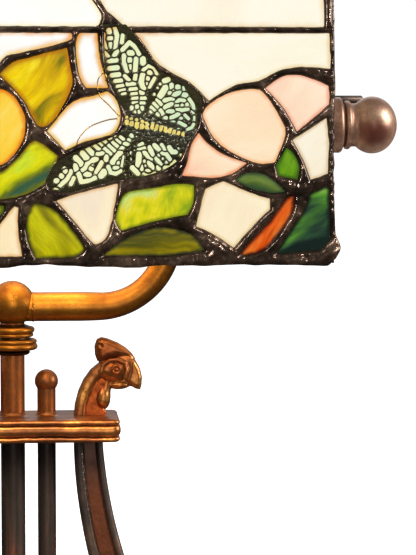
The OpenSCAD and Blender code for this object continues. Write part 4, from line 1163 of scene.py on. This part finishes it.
def build_rings():
    """Turned collars on the column, under the hub."""
    low = ARM_Z - 19.6
    profile = [(low, 5.0), (low, 6.4), (low + 0.5, 7.1), (low + 1.1, 7.3), (low + 1.5, 6.9), (low + 2.0, 6.3)]
    for middle, half, waist, r in ((3.4, 1.35, 9.2, 10.4), (5.5, 0.9, 9.3, 10.1), (8.2, 0.8, 8.0, 8.7),
                                   (10.25, 1.25, 8.1, 9.2)):
        profile += [(low + middle - half * math.cos(t), waist + (r - waist) * math.sin(t))
                    for t in np.linspace(0.2, math.pi - 0.2, 11)]
        if middle == 5.5:
            profile += [(low + 6.6, 7.0), (low + 7.2, 6.9)]
    profile += [(low + 11.7, 7.2), (low + 12.6, 5.0)]
    co, faces = lathe(profile, (0, 0, 0), "z", 96)
    r, z = np.hypot(co[:, 0], co[:, 1]), co[:, 2] - low
    # Painted shade: dark in the gaps between the collars and on the lowest disc.
    shaded = np.maximum(smooth((2.6 - z) / 0.4), smooth((7.9 - r) / 0.5))
    add_piece("turned_rings", co, faces, "stand", "bronze", GOLD_BRONZE, ["column_rings"],
              {"rub_and_shade": shaded * 0.9}, sharp=50)


def rounded_rectangle(width, depth, radius):
    """A function of the inset that gives the outline of a rounded rectangle, always with as many points."""
    step = 1.2

    def outline(inset):
        w, d, r = width / 2 - inset, depth / 2 - inset, max(radius - inset, 0.4)
        points = []
        for x, y, a in ((1, -1, -90), (1, 1, 0), (-1, 1, 90), (-1, -1, 180)):
            points += arc(x * (w - r), y * (d - r), r, a, a + 90, 6)
        points, full = np.array(points), []
        for p, q in zip(points, np.roll(points, -1, axis=0)):
            straight = np.linalg.norm(q - p) > radius
            count = int(width / step) if straight else 1
            full += [p + (q - p) * t for t in np.arange(count) / count]
        return np.array(full)
    return outline


def build_bridge():
    """The cast bridge: three rolls round its edge, and small fillets where the posts come through."""
    z = PLATE_Z
    profile = [(2.6, z), (1.5, z - 0.05), (0.9, z - 0.3)]
    for middle, half, out in ((z - 1.35, 1.05, 0.35), (z - 4.7, 2.1, 0.0), (z - 8.25, 1.05, 0.35)):
        for t in np.linspace(0.3, math.pi - 0.3, 9):
            profile.append((out + 1.25 - 1.25 * math.sin(t) ** 0.8, middle + half * math.cos(t)))
        profile.append((1.55, middle - half - 0.12))
    profile += [(1.9, z - 9.5), (3.2, BRIDGE_LO[2])]
    outline = rounded_rectangle(BRIDGE_HI[0] * 2, BRIDGE_HI[1] * 2, 3.0)
    co, faces = moulding(profile[::-1], outline)
    wave = 0.34 * layered(co[:, 0] + co[:, 1] * 0.6, co[:, 2] * 0.5, 8, 31, 2)
    edge = smooth((PLATE_Z - co[:, 2]) / 1.0) * smooth((co[:, 2] - BRIDGE_LO[2]) / 1.0)
    co[:, 2] += wave * edge
    parts = [(co, faces)]
    for x, r in ((0, COLUMN_R), (-ROD_X, ROD_R), (ROD_X, ROD_R)):
        fillet = [(0.0, r), (0.0, r + 1.5), (0.25, r + 0.8), (0.7, r + 0.35), (1.5, r + 0.08), (1.6, r - 0.3)]
        parts.append(lathe(fillet, (x, 0, z - 0.02), "z", 48))
    co, faces = join(parts)
    add_piece("cast_bridge", co, faces, "stand", "bronze", BROWN_BRONZE, ["bridge_plate"], sharp=60)


def leg_section(width, t):
    """Half-section of a leg at t down its length: rounded rails either side of a sunk web."""
    r = LEG_EDGE_R
    edge = lambda a, b: r * (1 - np.cos(np.linspace(a, b, 7)))
    flat = np.linspace(r, width - r, 36)[1:-1]
    s = np.concatenate([edge(0, math.pi / 2), flat, width - edge(math.pi / 2, 0)])
    corner = np.minimum(s, width - s)
    y = 6 - r + np.sqrt(np.clip(r ** 2 - np.clip(r - corner, 0, None) ** 2, 0, None))
    left, right = 0.3 * width, 0.22 * width
    sunk = smooth((s - left + 0.5) / 1.1) * smooth((width - right + 0.5 - s) / 1.1)
    swell = lambda t: 0.35 * np.sin(np.clip(t, 0, 1) * math.pi)
    crest = swell(s / left) + swell((width - s) / right)
    ends = smooth((0.87 - t) / 0.04)
    tone = sunk ** 3 * (0.5 + 0.5 * smooth((t - 0.04) / 0.16))
    # Painted glint: a pale line along the inner edge of the left rail, near the top of the leg.
    painted_glint = np.exp(-((s - left + 0.2) / 0.45) ** 2) * smooth(t / 0.03) * smooth((0.3 - t) / 0.1)
    return s, y - ends * (2.9 * sunk + 0.35 - crest), ends * tone, painted_glint


def build_legs():
    top, drop = LEG_HI[2], LEG_HI[2] - PLINTH_HI[2]
    for side, name in SIDES:
        rings = []
        for t in np.linspace(0, 1, 90):
            inner = LEG_LO[0] + 11 * (1 - math.cos(math.pi * t)) - 1.3 * math.sin(math.pi * t) ** 2
            s, y, web, painted_glint = leg_section(11.8 + 8 * t, t)
            both = lambda values: np.concatenate([values, values[::-1]])
            x, y, z = both(inner + s), np.concatenate([-y, y[::-1]]), np.full(2 * len(s), top - drop * t)
            rings.append(np.column_stack([x, y, z, both(web), both(painted_glint)]))
        sides = len(rings[0])
        co = np.concatenate(rings[::-1])
        co, rub_and_shade, painted_glint = co[:, :3], co[:, 3], co[:, 4]
        co[:, 1] += 0.1 * layered(co[:, 0], co[:, 2], 5, 12, 2)
        leg = (co, ring_faces(len(rings), sides))
        base = PLINTH_HI[2]

        def foot(X, Y, Z):
            f = egg_field(X, Y, Z, (57, 0, base + 2), (15, 8.6, 5.5))
            for y in (-5.6, 0, 5.6):
                reach = 0.8 if y == 0 else 0
                toe = rod_field(X, Y, Z, (62, y * 0.8, base + 3.6), (71.5 + reach, y, base + 2.6), 2.9, 2.5)
                toe = blend_min(toe, egg_field(X, Y, Z, (72 + reach, y, base + 2.7), (2.9, 2.5, 2.7)), 0.5)
                root, tip = (73.6 + reach, y, base + 2.8), (76.4 + reach, y, base + 0.8)
                claw = rod_field(X, Y, Z, root, tip, 1.3, 0.45)
                f = blend_min(f, blend_min(toe, claw, 0.35), 0.9)
            return np.maximum(f, base - Z)

        paw = sculpt(foot, (40, -10, base - 1.2), (79, 10, base + 9), 0.45)
        co, faces = mirrored(*join([leg, paw]), side)
        rub_and_shade, painted_glint = (np.concatenate([tone, np.zeros(len(co) - len(tone))]) for tone in (rub_and_shade, painted_glint))
        add_piece(f"cast_leg_{name}", co, faces, "stand", "dark_bronze", DARK_BRONZE, [f"leg_{name}"],
                  {"rub_and_shade": rub_and_shade, "painted_glint": painted_glint})


# Outlines and lines of the bird's head, as X and height above the bridge plate
COMB = [(34.8, 22.4), (33.9, 25), (33.7, 28.6), (34.7, 31.4), (36.6, 32.2), (39.4, 31.6), (43.2, 30),
        (46.6, 27.9), (49.3, 25.4), (50.6, 23.2), (47.2, 24), (43.4, 23.9), (39.4, 23), (36.8, 21.6)]
NECK = [(27.4, -1), (27.9, 4), (29.2, 9), (31.2, 13.4), (33.8, 17), (37, 19.6)]
WEB = [(29, -1), (30.4, 7), (33, 12.5), (37, 16.5), (39.5, 14), (37, 9), (36.4, 4), (38.4, 1.5), (38.6, -1)]
BEAK = [(45.5, 24.2), (48.6, 24.6), (50.9, 22.2), (52.6, 19), (53.4, 15.4), (53.2, 12.6), (52.6, 10.4),
        (50.6, 10.7), (48.6, 12), (46.9, 13.6), (45.4, 16)]
BROW = [(36.4, 18.2), (37.2, 21), (39.8, 22.9), (43.4, 23.1), (46.2, 21.7), (47, 18.4), (46.4, 15.8)]
COMB_GROOVE = [(34, 21.6), (38.6, 23.3), (43.4, 24.4), (47, 24.5)]
CHEEK_GROOVE = [(48.6, 24), (49, 21.2), (48.6, 17.8), (47.6, 14.6)]


def bird_field(X, Y, Z):
    """A parrot's head in profile: swept comb, brow, ringed eye, hooked beak, jaw, wattle and arched neck."""
    x, z = X[:, 0, :], Z[:, 0, :]
    flat = lambda field: field[:, None, :]
    depth = np.abs(Y)
    cord = lambda line, at, r: np.sqrt(flat(stroke_distance(x, z, line)) ** 2 + (depth - at) ** 2) - r
    comb = plate_field(flat(loop_distance(x, z, np.array(COMB))), Y, 3.5, 3.2)
    neck = plate_field(flat(stroke_distance(x, z, NECK) - 2.35), Y, 4.0, 1.8)
    web = plate_field(flat(loop_distance(x, z, np.array(WEB))), Y, 2.1, 0.6)
    head = egg_field(X, Y, Z, (41.6, 0, 18.4), (6.4, 4.4, 5.2))
    f = blend_min(neck, head, 1.2)
    f = blend_min(f, egg_field(X, Y, Z, (45.4, 0, 20.6), (4.2, 3.7, 4.8)), 0.8)
    beak = plate_field(flat(loop_distance(x, z, np.array(BEAK))), Y, 3.3, 2.0)
    f = blend_min(f, beak, 0.5)
    f = blend_min(f, rod_field(X, Y, Z, (45.6, 0, 13.8), (49, 0, 13), 1.7, 1.5), 0.4)
    f = blend_min(f, cord(BROW, 3.7, 0.85), 0.6)
    f = blend_min(f, egg_field(X, Y, Z, (43.8, 0, 12.3), (4.7, 3.0, 1.9)), 0.25)
    wattle = blend_min(egg_field(X, Y, Z, (37.1, 0, 6.6), (3.2, 3.4, 4.7)),
                       rod_field(X, Y, Z, (39.2, 0, 15), (37.4, 0, 8.5), 2.1, 2.8), 1.0)
    f = blend_min(f, wattle, 0.3)
    f = np.minimum(f, web)
    f = blend_min(f, comb, 1.0)
    f = blend_cut(f, cord(COMB_GROOVE, 3.3, 0.55), 0.4)
    f = blend_cut(f, cord(CHEEK_GROOVE, 3.5, 0.55), 0.4)
    notch = np.sqrt((X - 36.2) ** 2 + (Z - 29) ** 2 + (depth - 4.0) ** 2) - 1.1
    f = blend_cut(f, notch, 0.6)
    r = np.sqrt((X - 42.6) ** 2 + (Z - 19.1) ** 2)
    f = blend_min(f, np.sqrt((r - 1.6) ** 2 + (depth - 4.3) ** 2) - 0.5, 0.2)
    f = np.minimum(f, np.sqrt(r ** 2 + (depth - 4.2) ** 2) - 0.8)
    f = f + 0.08 * layered(X + 0.7 * Y, Z - 0.5 * Y, 2.4, 44, 2)
    return np.maximum(f, -Z - 0.4)


def build_birds():
    points, faces = sculpt(bird_field, (23.5, -6, -1.2), (55, 6, 34), 0.26)
    points = points + (0, 0, PLATE_Z)
    web = -loop_distance(points[:, 0], points[:, 2] - PLATE_Z, np.array(WEB))
    rub_and_shade = smooth((web + 0.2) / 0.5) * smooth((3.0 - np.abs(points[:, 1])) / 0.6)
    for x, z, reach in ((37.5, 27, 5.0), (42, 19, 5.0)):
        spot = np.exp(-((points[:, 0] - x) ** 2 + (points[:, 2] - PLATE_Z - z) ** 2) / reach ** 2)
        rub_and_shade = np.maximum(rub_and_shade, 0.6 * spot)
    for side, name in SIDES:
        co, polygons = mirrored(points, faces, side)
        add_piece(f"cast_bird_{name}", co, polygons, "stand", "bronze", BROWN_BRONZE, [f"bird_head_{name}"],
                  {"rub_and_shade": rub_and_shade})


def build_knobs():
    """Turned knobs: a thin collar, a neck and a slightly flattened ball."""
    x = KNOB_LO[0]
    ball_x, half, r = 148.9, 10.3, 11.8
    profile = [(x, 5.05), (x, 9.2), (x + 0.4, 9.9), (x + 1.2, 10.1), (x + 2.0, 9.9), (x + 2.5, 9.3),
               (x + 3.2, 8.9), (x + 4.0, 8.9)]
    profile += [(ball_x - half * math.cos(t), r * math.sin(t)) for t in np.linspace(0.86, math.pi, 40)]
    for side, name in SIDES:
        co, faces = mirrored(*lathe(profile[:-1] + [(ball_x + half, 0.02)], (0, 0, PIVOT_Z), "x", 96), side)
        # Painted reflection: a dark red-brown patch on the lower middle of the ball.
        far = np.hypot((np.abs(co[:, 0]) - ball_x) / 9.5, (co[:, 2] - PIVOT_Z + 3.4) / 7.5)
        add_piece(f"turned_knob_{name}", co, faces, f"{name}_knob", "dark_bronze", KNOB_BRONZE,
                  [f"knob_{name}"], {"rub_and_shade": 0.9 * smooth((1.15 - far) / 0.8)}, sharp=60)


def build_finger_bars():
    """Slim bars on the end panels, which reach behind the knobs."""
    lo, hi = box_mm("finger_bars")
    r, tip = 1.9, KNOB_HI[0] - 12
    profile = [(tip - 24, 0.02), (tip - 24, r), (tip - 0.8, r), (tip - 0.2, r - 0.6), (tip, 0.02)]
    middle = (0, (lo[1] + hi[1]) / 2, hi[2] - r)
    co, faces = join([mirrored(*lathe(profile, middle, "x", 32), side) for side in (-1, 1)])
    add_piece("slim_finger_bars", co, faces, "shade", "dark_bronze", DARK_BRONZE, ["finger_bars"], sharp=50)


# ---------------------------------------------------------------- finishes of the frame's own parts
FINISHES = {
    "felt_pad": FELT, "cord_gland": RUBBER, "lampholder": BRASS, "bulb_cap": BRASS, "bulb_glass": BULB_GLOW,
    "base_plinth": BROWN_BRONZE, "column": ROD_BRONZE, "finial_rods": ROD_BRONZE, "hub_ball": HUB_BRONZE,
    "upright_tees": GOLD_BRONZE, "friction_washers": KNOB_BRONZE, "pivot_boss_left": KNOB_BRONZE,
    "pivot_boss_right": KNOB_BRONZE}
PLAIN_STEEL = ("bottom_cover", "counterweight", "cover_screws", "column_nut", "foot_screws", "bridge_screws",
               "pivot_shaft_left", "pivot_shaft_right", "boss_nuts")
FINISHES.update({node: STEEL for node in PLAIN_STEEL})


def paint_frame():
    for node, material in FINISHES.items():
        data = frame["nodes"][node].data
        data.materials.clear()
        data.materials.append(material)


set_stage()
set_lights()
add_floor()
build_front()
build_butterfly(1)
build_butterfly(-1)
build_top()
build_rear()
build_ends()
build_arms()
build_rings()
build_bridge()
build_legs()
build_birds()
build_knobs()
build_finger_bars()
paint_frame()
light_the_stand()
